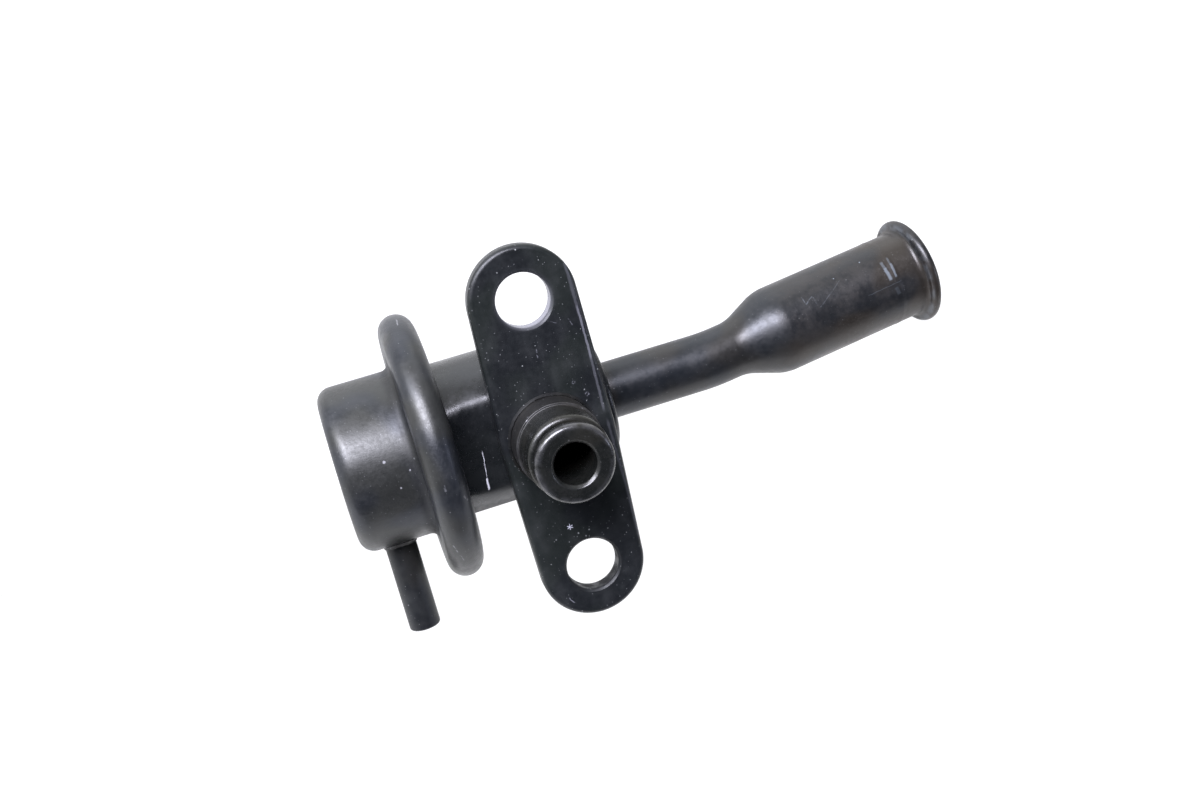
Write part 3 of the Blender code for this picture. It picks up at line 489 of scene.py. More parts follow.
@dataclass(frozen=True)
class BareMetal:
    """Uncoated metal of the inner pieces: turned or drawn, with a film of fuel."""

    name: str
    colour: Colour
    stain: Colour
    roughness: float
    rings: Line | None = None
    ring_depth: float = 0.0008

    def material(self) -> bpy.types.Material:
        """Builds the material.

        Returns:
            The finished material.
        """
        made, tree = new_material(self.name)
        film = (tree.cloud(2.5, 4.0) * 0.7 + tree.cloud(0.5, 3.0) * 0.3).fade(0.42, 0.70)
        pits = tree.specks(0.6, 0.16, 0.12)
        scuffs = tree.cloud(0.25, 3.0, (0.25, 1.0, 1.0))
        height = scuffs * 0.003 - pits * 0.006
        if self.rings:
            along, out = tree.from_line(self.rings)
            height = height + (along * 26000.0 + out * 19000.0).sine() * self.ring_depth
        colour = tree.blend(film * 0.6, self.colour, self.stain)
        colour = tree.blend(pits * 0.5, colour, PITTED)
        rough = (self.roughness + film * 0.14 + (scuffs - 0.5) * 0.10).held()
        tree.surface(height, {"Base Color": colour, "Roughness": rough, "Metallic": 1.0})
        return made


@dataclass(frozen=True)
class RubberedFabric:
    """Black rubber with the weave of its fabric just showing."""

    name: str
    colour: Colour = (0.018, 0.018, 0.02)
    worn: Colour = (0.05, 0.05, 0.052)
    thread: float = 0.35

    def material(self) -> bpy.types.Material:
        """Builds the material.

        Returns:
            The finished material.
        """
        made, tree = new_material(self.name)
        turns = FULL_TURN / (self.thread * MM)
        warp = (tree.vector("DOT_PRODUCT", tree.place, (0, 1, 0), output=1) * turns).sine()
        weft = (tree.vector("DOT_PRODUCT", tree.place, (0, 0, 1), output=1) * turns).sine()
        weave = warp * weft * 0.5 + 0.5
        haze = tree.cloud(3.0, 4.0).fade(0.4, 0.7)
        colour = tree.blend(haze * 0.6 + weave * 0.2, self.colour, self.worn)
        height = weave * 0.010 + tree.cloud(0.15, 2.0) * 0.004
        tree.surface(height, {"Base Color": colour, "Roughness": 0.62 + haze * 0.16})
        return made


def root_braze_coat(name: str) -> DarkCoat:
    """The coat over a braze ring at a tube's root."""
    return DarkCoat(
        name, (0.008, 0.008, 0.010), (0.015, 0.0145, 0.015), roughness=0.5, metallic=0.4,
        grain=0.25, grain_depth=1.4, waves=0.3, dust=0.5,
    )


# Forms


@dataclass(frozen=True)
class Corner:
    """A corner of a turned outline, in millimetres: place along the axis, radius, rounding."""

    along: float
    out: float
    rounding: float = 0.0
    segments: int = 8


def outline_form(corners: Sequence[Corner], closed: bool, longest: float) -> bmesh.types.BMesh:
    """Draws the outline of a turned piece as a wire beside the Z axis.

    Args:
        corners: The outline's corners in order.
        closed: Whether the last corner joins the first.
        longest: Longest edge that is left in the wire, in millimetres.

    Returns:
        The wire, with its corners rounded.
    """
    form = bmesh.new()
    points = [form.verts.new((corner.out * MM, 0, corner.along * MM)) for corner in corners]
    pairs = list(zip(points, points[1:])) + ([(points[-1], points[0])] if closed else [])
    for pair in pairs:
        form.edges.new(pair)
    places = [point.co.copy() for point in points]
    for index, (corner, point) in enumerate(zip(corners, points)):
        if corner.rounding:
            before = places[index - 1] - places[index]
            after = places[(index + 1) % len(places)] - places[index]
            reach = corner.rounding * MM / math.tan(before.angle(after) / 2)
            reach = min(reach, 0.498 * before.length, 0.498 * after.length)
            bmesh.ops.bevel(
                form, geom=[point], offset=reach, offset_type="OFFSET", segments=corner.segments,
                profile=0.5, affect="VERTICES", material=-1,
            )
    for edge in list(form.edges):
        cuts = math.ceil(edge.calc_length() / (longest * MM)) - 1
        if cuts > 0:
            bmesh.ops.subdivide_edges(form, edges=[edge], cuts=cuts)
    return form


def turned_form(
    corners: Sequence[Corner], steps: int, closed: bool = True, longest: float = 100.0
) -> bmesh.types.BMesh:
    """Turns an outline about the Z axis.

    Args:
        corners: The outline's corners in order.
        steps: Facets round the piece.
        closed: Whether the outline is a loop; an open one starts and ends on the axis.
        longest: Longest facet along the outline, in millimetres.

    Returns:
        The closed form.
    """
    form = outline_form(corners, closed, longest)
    bmesh.ops.spin(
        form, geom=form.verts[:] + form.edges[:], cent=(0, 0, 0), axis=(0, 0, 1), dvec=(0, 0, 0),
        angle=FULL_TURN, steps=steps, use_merge=True, use_duplicate=False,
    )
    bmesh.ops.remove_doubles(form, verts=form.verts, dist=WELD)
    bmesh.ops.recalc_face_normals(form, faces=form.faces)
    return form


def settled(form: bmesh.types.BMesh, line: Line) -> bmesh.types.BMesh:
    """Moves a form that was turned about Z onto its own axis."""
    bmesh.ops.transform(form, matrix=line.matrix(), verts=form.verts)
    return form


def roughened(form: bmesh.types.BMesh, foot: float, height: float, size: float, depth: float) -> None:
    """Makes a braze ring uneven while its foot stays on the surface that carries it.

    Args:
        form: A ring turned about Z.
        foot: Place of the foot along Z, in millimetres.
        height: Height at which the unevenness is full, in millimetres.
        size: Size of the lumps, in millimetres.
        depth: Depth of the lumps, in millimetres.
    """
    for vertex in form.verts:
        share = min(max((vertex.co.z / MM - foot) / height, 0.0), 1.0)
        out = Vector((vertex.co.x, vertex.co.y, 0)).normalized()
        lump = noise.noise(vertex.co / (size * MM)) + 0.5 * noise.noise(vertex.co / (0.4 * size * MM))
        vertex.co += (out + Vector((0, 0, 0.8 * share))) * (lump * depth * MM)


def new_object(name: str, form: bmesh.types.BMesh) -> bpy.types.Object:
    """Makes a shown object of a form and frees the form."""
    mesh = bpy.data.meshes.new(name)
    form.to_mesh(mesh)
    form.free()
    made = bpy.data.objects.new(name, mesh)
    bpy.context.scene.collection.objects.link(made)
    return made


def carve(piece: bpy.types.Object, cutters: Iterable[bpy.types.Object]) -> None:
    """Cuts a piece with each cutter and removes the cutters."""
    cutters = list(cutters)
    for cutter in cutters:
        step = piece.modifiers.new(cutter.name, "BOOLEAN")
        step.operation = "DIFFERENCE"
        step.solver = "EXACT"
        step.object = cutter
    bpy.context.view_layer.update()
    evaluated = piece.evaluated_get(bpy.context.evaluated_depsgraph_get())
    mesh = bpy.data.meshes.new_from_object(evaluated)
    piece.modifiers.clear()
    piece.data = mesh
    for cutter in cutters:
        bpy.data.objects.remove(cutter, do_unlink=True)


def round_cutter(name: str, corners: Sequence[Corner], steps: int, place: Matrix) -> bpy.types.Object:
    """Makes a turned cutter at a place."""
    form = turned_form(corners, steps, closed=False)
    bmesh.ops.transform(form, matrix=place, verts=form.verts)
    return new_object(name, form)


def plain_drill(
    name: str, ends: tuple[float, float], radius: float, place: Matrix, steps: int = 96
) -> bpy.types.Object:
    """Makes a plain round cutter between two places along Z, moved to a place."""
    first, last = ends
    corners = [Corner(first, 0), Corner(first, radius), Corner(last, radius), Corner(last, 0)]
    return round_cutter(name, corners, steps, place)


def dress(
    piece: bpy.types.Object, finish: DarkCoat, node: str, crease: float = 32.0,
    weighted: bool = False,
) -> None:
    """Gives a piece its finish and lets it stand for a node of the frame.

    Args:
        piece: The modelled piece, at its place.
        finish: The coat that it wears.
        node: The frame's node that it stands for.
        crease: Angle past which an edge is drawn sharp, in degrees.
        weighted: Whether large faces settle the shading of the edges beside them.
    """
    piece.data.materials.clear()
    piece.data.materials.append(finish.material())
    piece.data.shade_smooth()
    piece.data.set_sharp_from_angle(angle=math.radians(crease))
    if weighted:
        step = piece.modifiers.new("Even shading", "WEIGHTED_NORMAL")
        step.keep_sharp = True
    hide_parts(node)
    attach(piece, frame["nodes"][node]["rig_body"])
    LOG.info("%s stands for %s: %d faces", piece.name, node, len(piece.data.polygons))


# Sub-assemblies


@dataclass
class Flange:
    """Two-hole mounting plate."""

    spacing: float = 38.0
    hole_radius: float = 3.65
    thickness: float = 2.8
    end_radius: float = 7.3
    waist_radius: float = 7.85
    middle_x: float = 0.75
    edge_round: float = 0.7
    lip_round: float = 0.3
    neck_radius: float = 4.25
    facets: int = 144

    def plate_form(self) -> bmesh.types.BMesh:
        """The blank: the hull of two ends and a waist, with rolled edges."""
        form = bmesh.new()
        end = self.spacing / 2
        discs = ((end, self.end_radius), (0.0, self.waist_radius), (-end, self.end_radius))
        for height, radius in discs:
            for face in (0.0, self.thickness):
                middle = Vector((self.middle_x, face, height)) * MM
                place = Matrix.Translation(middle) @ Matrix.Rotation(math.radians(90), 4, "X")
                bmesh.ops.create_circle(
                    form, cap_ends=False, radius=radius * MM, segments=self.facets, matrix=place
                )
        hull = bmesh.ops.convex_hull(form, input=form.verts)
        inside = hull["geom_interior"] + hull["geom_unused"]
        spare = {item for item in inside if isinstance(item, bmesh.types.BMVert)}
        bmesh.ops.delete(form, geom=list(spare), context="VERTS")
        loose = [edge for edge in form.edges if not edge.link_faces]
        bmesh.ops.delete(form, geom=loose, context="EDGES")
        flat = math.radians(0.6)
        bmesh.ops.dissolve_limit(form, angle_limit=flat, verts=form.verts, edges=form.edges)
        bmesh.ops.recalc_face_normals(form, faces=form.faces)
        rim = [edge for edge in form.edges if edge.calc_face_angle(0) > math.radians(60)]
        bmesh.ops.bevel(
            form, geom=rim, offset=self.edge_round * MM, offset_type="OFFSET", segments=7, profile=0.5,
            affect="EDGES", material=-1, clamp_overlap=True,
        )
        return form

    def hole_cutter(self, side: int) -> bpy.types.Object:
        """A drill for one screw hole, flared where it leaves each face."""
        margin = 1.5
        wide = self.hole_radius + margin
        corners = [
            Corner(-margin, 0),
            Corner(-margin, wide),
            Corner(0, wide - margin + self.lip_round + 0.05),
            Corner(self.lip_round, self.hole_radius, 0.35, 5),
            Corner(self.thickness - self.lip_round, self.hole_radius, 0.35, 5),
            Corner(self.thickness, wide - margin + self.lip_round + 0.05),
            Corner(self.thickness + margin, wide),
            Corner(self.thickness + margin, 0),
        ]
        middle = Vector((self.middle_x, 0, side * self.spacing / 2)) * MM
        return round_cutter(f"screw_drill_{side}", corners, 96, Matrix.Translation(middle) @ INTO_PLATE)

    def build(self) -> None:
        """Models and dresses the plate."""
        plate = new_object("mounting_plate", self.plate_form())
        neck_drill = plain_drill("neck_drill", (-4, 6), self.neck_radius, INTO_PLATE)
        carve(plate, [self.hole_cutter(1), self.hole_cutter(-1), neck_drill])
        finish = DarkCoat(
            "plate_coat", (0.0086, 0.0098, 0.0114), (0.013, 0.0150, 0.0165), warm=(0.95, 1.04, 0.85),
            roughness=0.40, metallic=0.25, specular=0.5, grain=0.5, grain_depth=0.6, waves=0.25, dust=0.9,
            brushed=(1.0, 1.0, 0.35), rub_and_glint_colour=(0.50, 0.50, 0.57),
            # Painted shade: a dark ring in and round the lower screw hole.
            shade_ring=WearAndShadeRing(Line.LOWER_HOLE, 0.0, 3.65, 1.9, 1.2),
            marks=(
                # Painted highlight: five solid lines along the rolled right edge, in the light bluish rub
                # colour.
                ScratchAndGlint((7.20, 0, 23.0), (7.40, 0, 14.6), 0.50, 0.09, solid=True),
                ScratchAndGlint((7.36, 0, 16.8), (7.52, 0, 8.6), 0.34, 0.24, solid=True),
                ScratchAndGlint((7.48, 0, 10.6), (7.46, 0, 1.4), 0.40, 0.11, solid=True),
                ScratchAndGlint((7.56, 0, 0.5), (7.84, 0, -9.6), 0.40, 0.08, solid=True),
                ScratchAndGlint((7.82, 0, -8.0), (7.88, 0, -17.5), 0.36, 0.06, solid=True),
                ScratchAndGlint((0.70, 0, 12.4), (0.65, 0, 11.1), 0.14, 0.22),
                ScratchAndGlint((5.83, 0, 15.1), (6.24, 0, 14.0), 0.14, 0.17),
                ScratchAndGlint((-3.72, 0, -22.6), (-3.10, 0, -23.6), 0.14, 0.28),
                ScratchAndGlint((3.1, 0, 15.5), (4.2, 0, 14.9), 0.10, 0.20),
                ScratchAndGlint((-1.04, 0, -13.18), (-1.04, 0, -12.28), 0.14, 1.0, solid=True),
                ScratchAndGlint((-1.43, 0, -12.95), (-0.65, 0, -12.51), 0.14, 1.0, solid=True),
                ScratchAndGlint((-0.65, 0, -12.95), (-1.43, 0, -12.51), 0.14, 1.0, solid=True),
                Pit((5.77, 0, 4.50), 0.22, 0.22),
                Pit((4.4, 0, 6.6), 0.18, 0.15),
                WearAndShadeRing(Line.UPPER_HOLE, 0.0, 3.65, 1.6, 0.42, even=True),
            ),
        )
        dress(plate, finish, "flange_plate", weighted=True)


@dataclass
class Inlet:
    """Turned inlet spigot and the braze at its foot."""

    length: float = 13.1
    bore: float = 2.75
    neck: float = 4.2
    collar: float = 5.85
    collar_height: float = 4.2
    land: float = 5.5
    groove_start: float = 9.9
    groove_end: float = 11.7
    groove_floor: float = 3.9
    tip: float = 5.2

    def build(self) -> None:
        """Models and dresses the spigot and its braze."""
        corners = [
            Corner(-4.0, self.bore),
            Corner(-4.0, self.neck),
            Corner(0.05, self.neck),
            Corner(0.05, self.collar),
            Corner(self.collar_height, self.collar, 0.1, 4),
            Corner(self.collar_height, self.land, 0.15, 4),
            Corner(self.groove_start, self.land, 0.9, 12),
            Corner(self.groove_start, self.groove_floor, 0.15, 4),
            Corner(self.groove_end, self.groove_floor, 0.15, 4),
            Corner(self.groove_end, self.tip, 0.12, 4),
            Corner(self.length, self.tip, 1.35, 16),
            Corner(self.length, self.bore + 0.45, 0.3, 5),
            Corner(self.length - 0.4, self.bore, 0.3, 5),
        ]
        spigot = new_object("inlet_nozzle", settled(turned_form(corners, 144), Line.SPIGOT))
        finish = DarkCoat(
            "spigot_coat", (0.0100, 0.0110, 0.0102), (0.0165, 0.0172, 0.0150), roughness=0.30,
            metallic=0.45, specular=0.95, grain=0.4, grain_depth=0.5, waves=0.1, dust=0.3,
            rings=Line.SPIGOT, change=ToneAndShadeChange(Line.SPIGOT, 4.9, 4.1, (1.0, 0.92, 0.95), 0.24),
            marks=(
                WearAndShadeRing(Line.SPIGOT, self.collar_height - 0.05, self.collar - 0.05, 0.25, 0.06),
                WearAndShadeRing(Line.SPIGOT, self.length - 0.35, self.tip - 0.3, 0.8, 0.15),
                Pit((-3.37, -3.89, 4.72), 0.30, 0.5),
                Pit((4.21, -1.27, 4.01), 0.34, 0.6),
            ),
        )
        dress(spigot, finish, "inlet_spigot")
        ring = [
            Corner(0.05, self.collar + 0.05),
            Corner(0.34, self.collar + 0.05, 0.1, 3),
            Corner(0.16, self.collar + 0.18, 0.4, 6),
            Corner(0.08, self.collar + 0.42, 0.1, 3),
            Corner(0.05, self.collar + 0.42),
        ]
        braze = turned_form(ring, 144)
        roughened(braze, 0.05, 0.5, 0.9, 0.06)
        coat = DarkCoat(
            "braze_coat", (0.0030, 0.0034, 0.0038), (0.0060, 0.0064, 0.0062), roughness=0.62, metallic=0.1,
            specular=0.2, grain=0.25, grain_depth=1.0, waves=0.3, dust=1.6,
        )
        bead = new_object("spigot_braze_bead", settled(braze, Line.SPIGOT))
        dress(bead, coat, "spigot_braze", crease=60)


@dataclass
class FuelHousing:
    """Drawn lower shell with its clamped rim, the pressed flat and the stepped boss."""

    rim_left: float = -15.40
    wall: float = 1.15
    rim_radius: float = 15.9
    radius: float = 10.9
    shoulder: float = 2.5
    boss_radius: float = 8.2
    boss_end: float = 9.9
    pipe_hole: float = 4.15
    inlet_hole: float = 4.25
    flat_y: float = 2.85
    crease_x: float = -9.7
    slope: float = 0.12
    slope_length: float = 2.9
    corner_radius: float = 1.5
    blend: float = 0.7

    def pressed(self, vertex: bmesh.types.BMVert, depth: float) -> None:
        """Presses one vertex in to the flat, with a soft edge where the flat meets the round.

        Args:
            vertex: The vertex, at its place in the frame.
            depth: How far inside the flat its own surface lies, in millimetres.
        """
        past = self.crease_x - vertex.co.x / MM
        floor = self.flat_y + depth - self.slope * min(max(past, 0.0), self.slope_length)
        into_corner = max(past - self.slope_length, 0.0)
        reach = self.corner_radius + depth
        if into_corner >= reach:
            return
        floor += math.sqrt(reach**2 - into_corner**2) - reach
        height = vertex.co.y / MM
        near = max(self.blend - abs(height - floor), 0.0) / self.blend
        vertex.co.y = (max(height, floor) + near**2 * self.blend / 4) * MM

    def build(self) -> None:
        """Models and dresses the housing."""
        chamber = self.radius - self.wall
        boss_bore = self.boss_radius - self.wall
        corners = [
            Corner(self.rim_left, self.rim_radius),
            Corner(self.rim_left + self.wall, self.rim_radius),
            Corner(self.rim_left + self.wall, self.radius, 1.2, 8),
            Corner(self.shoulder, self.radius, 1.0, 10),
            Corner(self.shoulder, self.boss_radius, 0.3, 5),
            Corner(self.boss_end, self.boss_radius, 0.7, 8),
            Corner(self.boss_end, self.pipe_hole),
            Corner(self.boss_end - self.wall, self.pipe_hole),
            Corner(self.boss_end - self.wall, boss_bore),
            Corner(self.shoulder - self.wall, boss_bore),
            Corner(self.shoulder - self.wall, chamber),
            Corner(self.rim_left, chamber),
        ]
        form = settled(turned_form(corners, 288, longest=0.45), Line.BODY)
        middle = Line.BODY.origin
        for vertex in form.verts:
            out = math.hypot(vertex.co.y - middle.y, vertex.co.z - middle.z) / MM
            in_chamber = vertex.co.x / MM < self.shoulder - 0.5 * self.wall
            inner = in_chamber and out < self.radius - 0.6 * self.wall
            inner = inner or out < self.boss_radius - 0.6 * self.wall
            self.pressed(vertex, self.wall if inner else 0.0)
        shell = new_object("housing_shell", form)
        carve(shell, [plain_drill("inlet_drill", (1.5, 6), self.inlet_hole, INTO_PLATE)])
        # Painted glint: two solid lines in the near-white rub colour draw a highlight along the crease of
        # the flat.
        glint = ((-9.41, 2.85, 0.40), (-9.80, 2.85, -3.40), (-9.99, 2.85, -5.25))
        finish = DarkCoat(
            "housing_coat", (0.0068, 0.0080, 0.0092), (0.0120, 0.0135, 0.0150), warm=(1.0, 1.02, 0.95),
            roughness=0.31, metallic=0.35, specular=0.9, grain=0.5, grain_depth=0.6, waves=0.5, dust=0.4,
            # Painted shade: the lowest part of the housing, from 8 to 10 mm below the body's axis onwards,
            # is darkened and roughened.
            rub_and_glint_colour=(0.80, 0.80, 0.86), change=ToneAndShadeChange(Line.NIPPLE, 8.0, 10.0, (0.5, 0.5, 0.55), 0.28),
            marks=(
                ScratchAndGlint(glint[0], glint[1], 0.13, 0.80, solid=True),
                ScratchAndGlint(glint[1], glint[2], 0.30, 1.0, solid=True),
            ),
        )
        dress(shell, finish, "fuel_housing", crease=38, weighted=True)


@dataclass
class SpringChamber:
    """Drawn cup with its rolled bead, the vacuum tube and the braze at the tube's root."""

    end: float = -28.55
    radius: float = 11.75
    wall: float = 1.2
    bead_left: float = -17.9
    bead_right: float = -13.0
    bead_radius: float = 18.85
    curl_end: float = 13.0
    tube_radius: float = 2.2
    tube_bore: float = 1.2
    tube_tip: float = 24.75
    tube_hole: float = 2.25

    def cup_form(self) -> bmesh.types.BMesh:
        """The cup with its rim rolled over the joint."""
        roll = (self.bead_right - self.bead_left) / 2
        inner = self.radius - self.wall
        inner_bead = self.bead_radius - self.wall
        corners = [
            Corner(self.end, 0),
            Corner(self.end, self.radius, 2.2, 14),
            Corner(self.bead_left, self.radius, 1.1, 8),
            Corner(self.bead_left, self.bead_radius, roll, 18),
            Corner(self.bead_right, self.bead_radius, roll, 18),
            Corner(self.bead_right, self.curl_end, 0.5, 6),
            Corner(self.bead_right - self.wall, self.curl_end, 0.3, 4),
            Corner(self.bead_right - self.wall, inner_bead, roll - self.wall, 8),
            Corner(self.bead_left + self.wall, inner_bead, roll - self.wall, 8),
            Corner(self.bead_left + self.wall, inner),
            Corner(self.end + self.wall, inner, 1.0, 6),
            Corner(self.end + self.wall, 0),
        ]
        return settled(turned_form(corners, 192, closed=False, longest=1.2), Line.BODY)

    def braze_form(self) -> bmesh.types.BMesh:
        """The braze ring, its foot following the round wall of the cup."""
        start = self.tube_radius + 0.05
        ring = [
            Corner(self.radius + 0.05, start),
            Corner(self.radius + 0.75, start, 0.1, 3),
            Corner(self.radius + 0.22, start + 0.22, 0.5, 6),
            Corner(self.radius + 0.12, start + 0.5, 0.1, 3),
            Corner(self.radius + 0.05, start + 0.5),
        ]
        form = turned_form(ring, 96)
        roughened(form, self.radius + 0.05, 0.5, 0.8, 0.07)
        for vertex in form.verts:
            across = vertex.co.y / MM
            vertex.co.z -= (self.radius - math.sqrt(self.radius**2 - across**2)) * MM
        return form

    def build(self) -> None:
        """Models and dresses the cup, the tube and the braze."""
        cup = new_object("spring_cup", self.cup_form())
        carve(cup, [plain_drill("tube_drill", (5, 20), self.tube_hole, Line.NIPPLE.matrix(), 64)])
        finish = DarkCoat(
            "cup_coat", (0.0175, 0.0205, 0.0260), (0.032, 0.0350, 0.0400), warm=(1.12, 1.05, 0.82),
            roughness=0.40, metallic=0.5, specular=0.8, grain=0.4, grain_depth=0.6, waves=0.5, dust=0.42,
            # Painted shade: a smooth dark ring in the crease between the cup and its bead.
            shade_ring=WearAndShadeRing(Line.BODY, self.bead_left - 0.1, self.radius + 0.3, 1.9, 0.6, even=True),
            marks=(
                ScratchAndGlint((-16.02, -6.83, 0.57), (-16.02, -6.74, -0.42), 0.30, 0.30, Line.BODY),
                ScratchAndGlint((-14.05, -6.25, -1.65), (-13.58, -5.70, -2.69), 0.26, 0.25, Line.BODY),
                ScratchAndGlint((-16.96, -3.87, -8.58), (-16.57, -3.22, -9.97), 0.20, 0.35, Line.BODY),
                ScratchAndGlint((-16.3, -2.6, -10.4), (-16.1, -1.9, -11.6), 0.16, 0.25, Line.BODY),
                ScratchAndGlint((-15.12, 10.0, 19.3), (-15.26, 7.6, 18.9), 0.18, 0.55, Line.BODY),
                Speck((-22.27, 0.47, 3.60), 0.22, 0.9),
                Speck((-21.15, 0.15, -0.36), 0.16, 0.8),
                Speck((-19.37, 0.20, 1.62), 0.14, 0.7),
                Speck((-25.2, 0.2, 2.6), 0.12, 0.6),
            ),
        )
        dress(cup, finish, "spring_cover")
        corners = [
            Corner(self.radius - self.wall, self.tube_bore),
            Corner(self.radius - self.wall, self.tube_radius),
            Corner(self.tube_tip, self.tube_radius, 0.4, 8),
            Corner(self.tube_tip, self.tube_bore, 0.2, 5),
        ]
        tube = new_object("vacuum_tube", settled(turned_form(corners, 96), Line.NIPPLE))
        tube_coat = DarkCoat(
            "tube_coat", (0.0120, 0.0135, 0.0155), (0.020, 0.0215, 0.0225), roughness=0.42, metallic=0.45,
            specular=0.6, grain=0.35, grain_depth=0.5, waves=0.1, dust=0.7,
        )
        dress(tube, tube_coat, "vacuum_nipple")
        braze = new_object("tube_braze_bead", settled(self.braze_form(), Line.NIPPLE))
        dress(braze, root_braze_coat("tube_braze_coat"), "nipple_braze", crease=60)


@dataclass
class ReturnLine:
    """Bent return pipe with its swaged bell, pressed band and flared lip."""

    start: float = -11.30
    radius: float = 4.1
    wall: float = 0.8
    bend_start: float = 24.5
    bend_radius: float = 30.0
    bend_angle: float = 6.9
    bend_roll: float = -33.0
    taper_start: float = 30.9
    taper_end: float = 36.5
    mouth: float = 61.0
    bell: float = 6.45
    lip_radius: float = 7.9
    lip: float = 1.5
    band_from_mouth: float = 5.8
    braze_foot: float = 9.95

    def bent(self, point: Vector) -> Vector:
        """Moves a point of the straight pipe, in millimetres, to its place on the bent one."""
        past = point.z - self.bend_start
        if past <= 0:
            return point
        roll = Matrix.Rotation(math.radians(self.bend_roll), 3, "Z")
        local = roll.inverted() @ point
        angle = math.radians(self.bend_angle)
        turned_by = min(past / self.bend_radius, angle)
        straight = max(past - self.bend_radius * angle, 0.0)
        reach = self.bend_radius + local.x
        along = self.bend_start + reach * math.sin(turned_by) + straight * math.cos(turned_by)
        across = self.bend_radius - reach * math.cos(turned_by) + straight * math.sin(turned_by)
        return roll @ Vector((-across, local.y, along))

    def pipe_form(self) -> bmesh.types.BMesh:
        """The straight pipe turned, then bent."""
        band = self.mouth - self.band_from_mouth
        bore = self.radius - self.wall
        bell_bore = self.bell - self.wall
        corners = [
            Corner(self.start, self.radius),
            Corner(self.taper_start, self.radius, 5.5, 14),
            Corner(self.taper_end, self.bell, 6.5, 16),
            Corner(band - 0.6, self.bell, 0.5, 3),
            Corner(band, self.bell + 0.05, 0.5, 4),
            Corner(band + 0.6, self.bell, 0.5, 3),
            Corner(self.mouth - self.lip, self.bell, 0.8, 8),
            Corner(self.mouth - self.lip, self.lip_radius, self.lip / 2, 8),
            Corner(self.mouth, self.lip_radius, self.lip / 2, 8),
            Corner(self.mouth, bell_bore, self.lip, 10),
            Corner(self.taper_end, bell_bore, 8.0, 10),
            Corner(self.taper_start, bore, 4.0, 10),
            Corner(self.start, bore),
        ]
        form = turned_form(corners, 144, longest=0.9)
        for vertex in form.verts:
            vertex.co = self.bent(vertex.co / MM) * MM
        return settled(form, Line.BODY)

    def build(self) -> None:
        """Models and dresses the pipe and its braze."""
        finish = DarkCoat(
            "pipe_coat", (0.0112, 0.0138, 0.0175), (0.0210, 0.0230, 0.0255), warm=(1.18, 1.0, 0.78),
            roughness=0.39, metallic=0.5, specular=0.8, grain=0.45, grain_depth=0.6, waves=0.35, dust=0.25,
            rub_and_glint_colour=(0.25, 0.29, 0.33), change=ToneAndShadeChange(Line.BODY, 35.0, 39.0, (1.36, 1.18, 1.02)),
            marks=(
                ScratchAndGlint((40.64, 8.23, 6.55), (40.82, 7.37, 5.44), 0.18, 0.18, Line.BELL),
                ScratchAndGlint((40.82, 7.37, 5.44), (42.17, 7.92, 6.30), 0.18, 0.24, Line.BELL),
                ScratchAndGlint((42.17, 7.92, 6.30), (42.40, 7.20, 5.16), 0.16, 0.14, Line.BELL),
                ScratchAndGlint((42.63, 6.96, 4.53), (44.9, 7.6, 5.95), 0.12, 0.14, Line.BELL),
                ScratchAndGlint((44.8, 7.6, 5.90), (47.05, 8.63, 7.18), 0.12, 0.10, Line.BELL),
                ScratchAndGlint((50.15, 7.13, 4.11), (55.88, 7.52, 4.80), 0.13, 0.13, Line.BELL, True),
                # Painted highlights: solid bars on the pressed band stand in for its glint.
                ScratchAndGlint((53.75, 9.11, 7.90), (54.24, 7.57, 5.27), 0.50, 0.28, Line.BELL, True),
                ScratchAndGlint((53.92, 8.60, 7.02), (54.26, 7.52, 5.18), 0.62, 0.52, Line.BELL, True),
                ScratchAndGlint((54.88, 9.29, 8.31), (55.20, 7.51, 5.45), 0.34, 0.22, Line.BELL, True),
                ScratchAndGlint((54.98, 8.75, 7.44), (55.20, 7.51, 5.45), 0.42, 0.44, Line.BELL, True),
                WearAndShadeRing(Line.BELL, 9.6, 7.3, 0.7, 0.20),
                # Painted highlight: a faint bar low on the pressed band.
                ScratchAndGlint((54.7, 7.35, 4.1), (55.1, 7.29, 2.9), 0.70, 0.10, Line.BELL, True),
                Speck((46.25, 8.95, 7.60), 0.12, 0.6),
                Speck((50.99, 9.95, 8.50), 0.12, 0.6),
            ),
        )
        dress(new_object("hose_pipe", self.pipe_form()), finish, "return_pipe")
        foot = self.braze_foot
        ring = [
            Corner(foot, self.radius + 0.05),
            Corner(foot + 0.7, self.radius + 0.05, 0.1, 3),
            Corner(foot + 0.17, self.radius + 0.25, 0.5, 6),
            Corner(foot + 0.07, self.radius + 0.55, 0.1, 3),
            Corner(foot, self.radius + 0.55),
        ]
        braze = turned_form(ring, 128)
        roughened(braze, foot, 0.5, 0.9, 0.08)
        bead = new_object("pipe_braze_bead", settled(braze, Line.BODY))
        dress(bead, root_braze_coat("pipe_braze_coat"), "return_braze", crease=60)


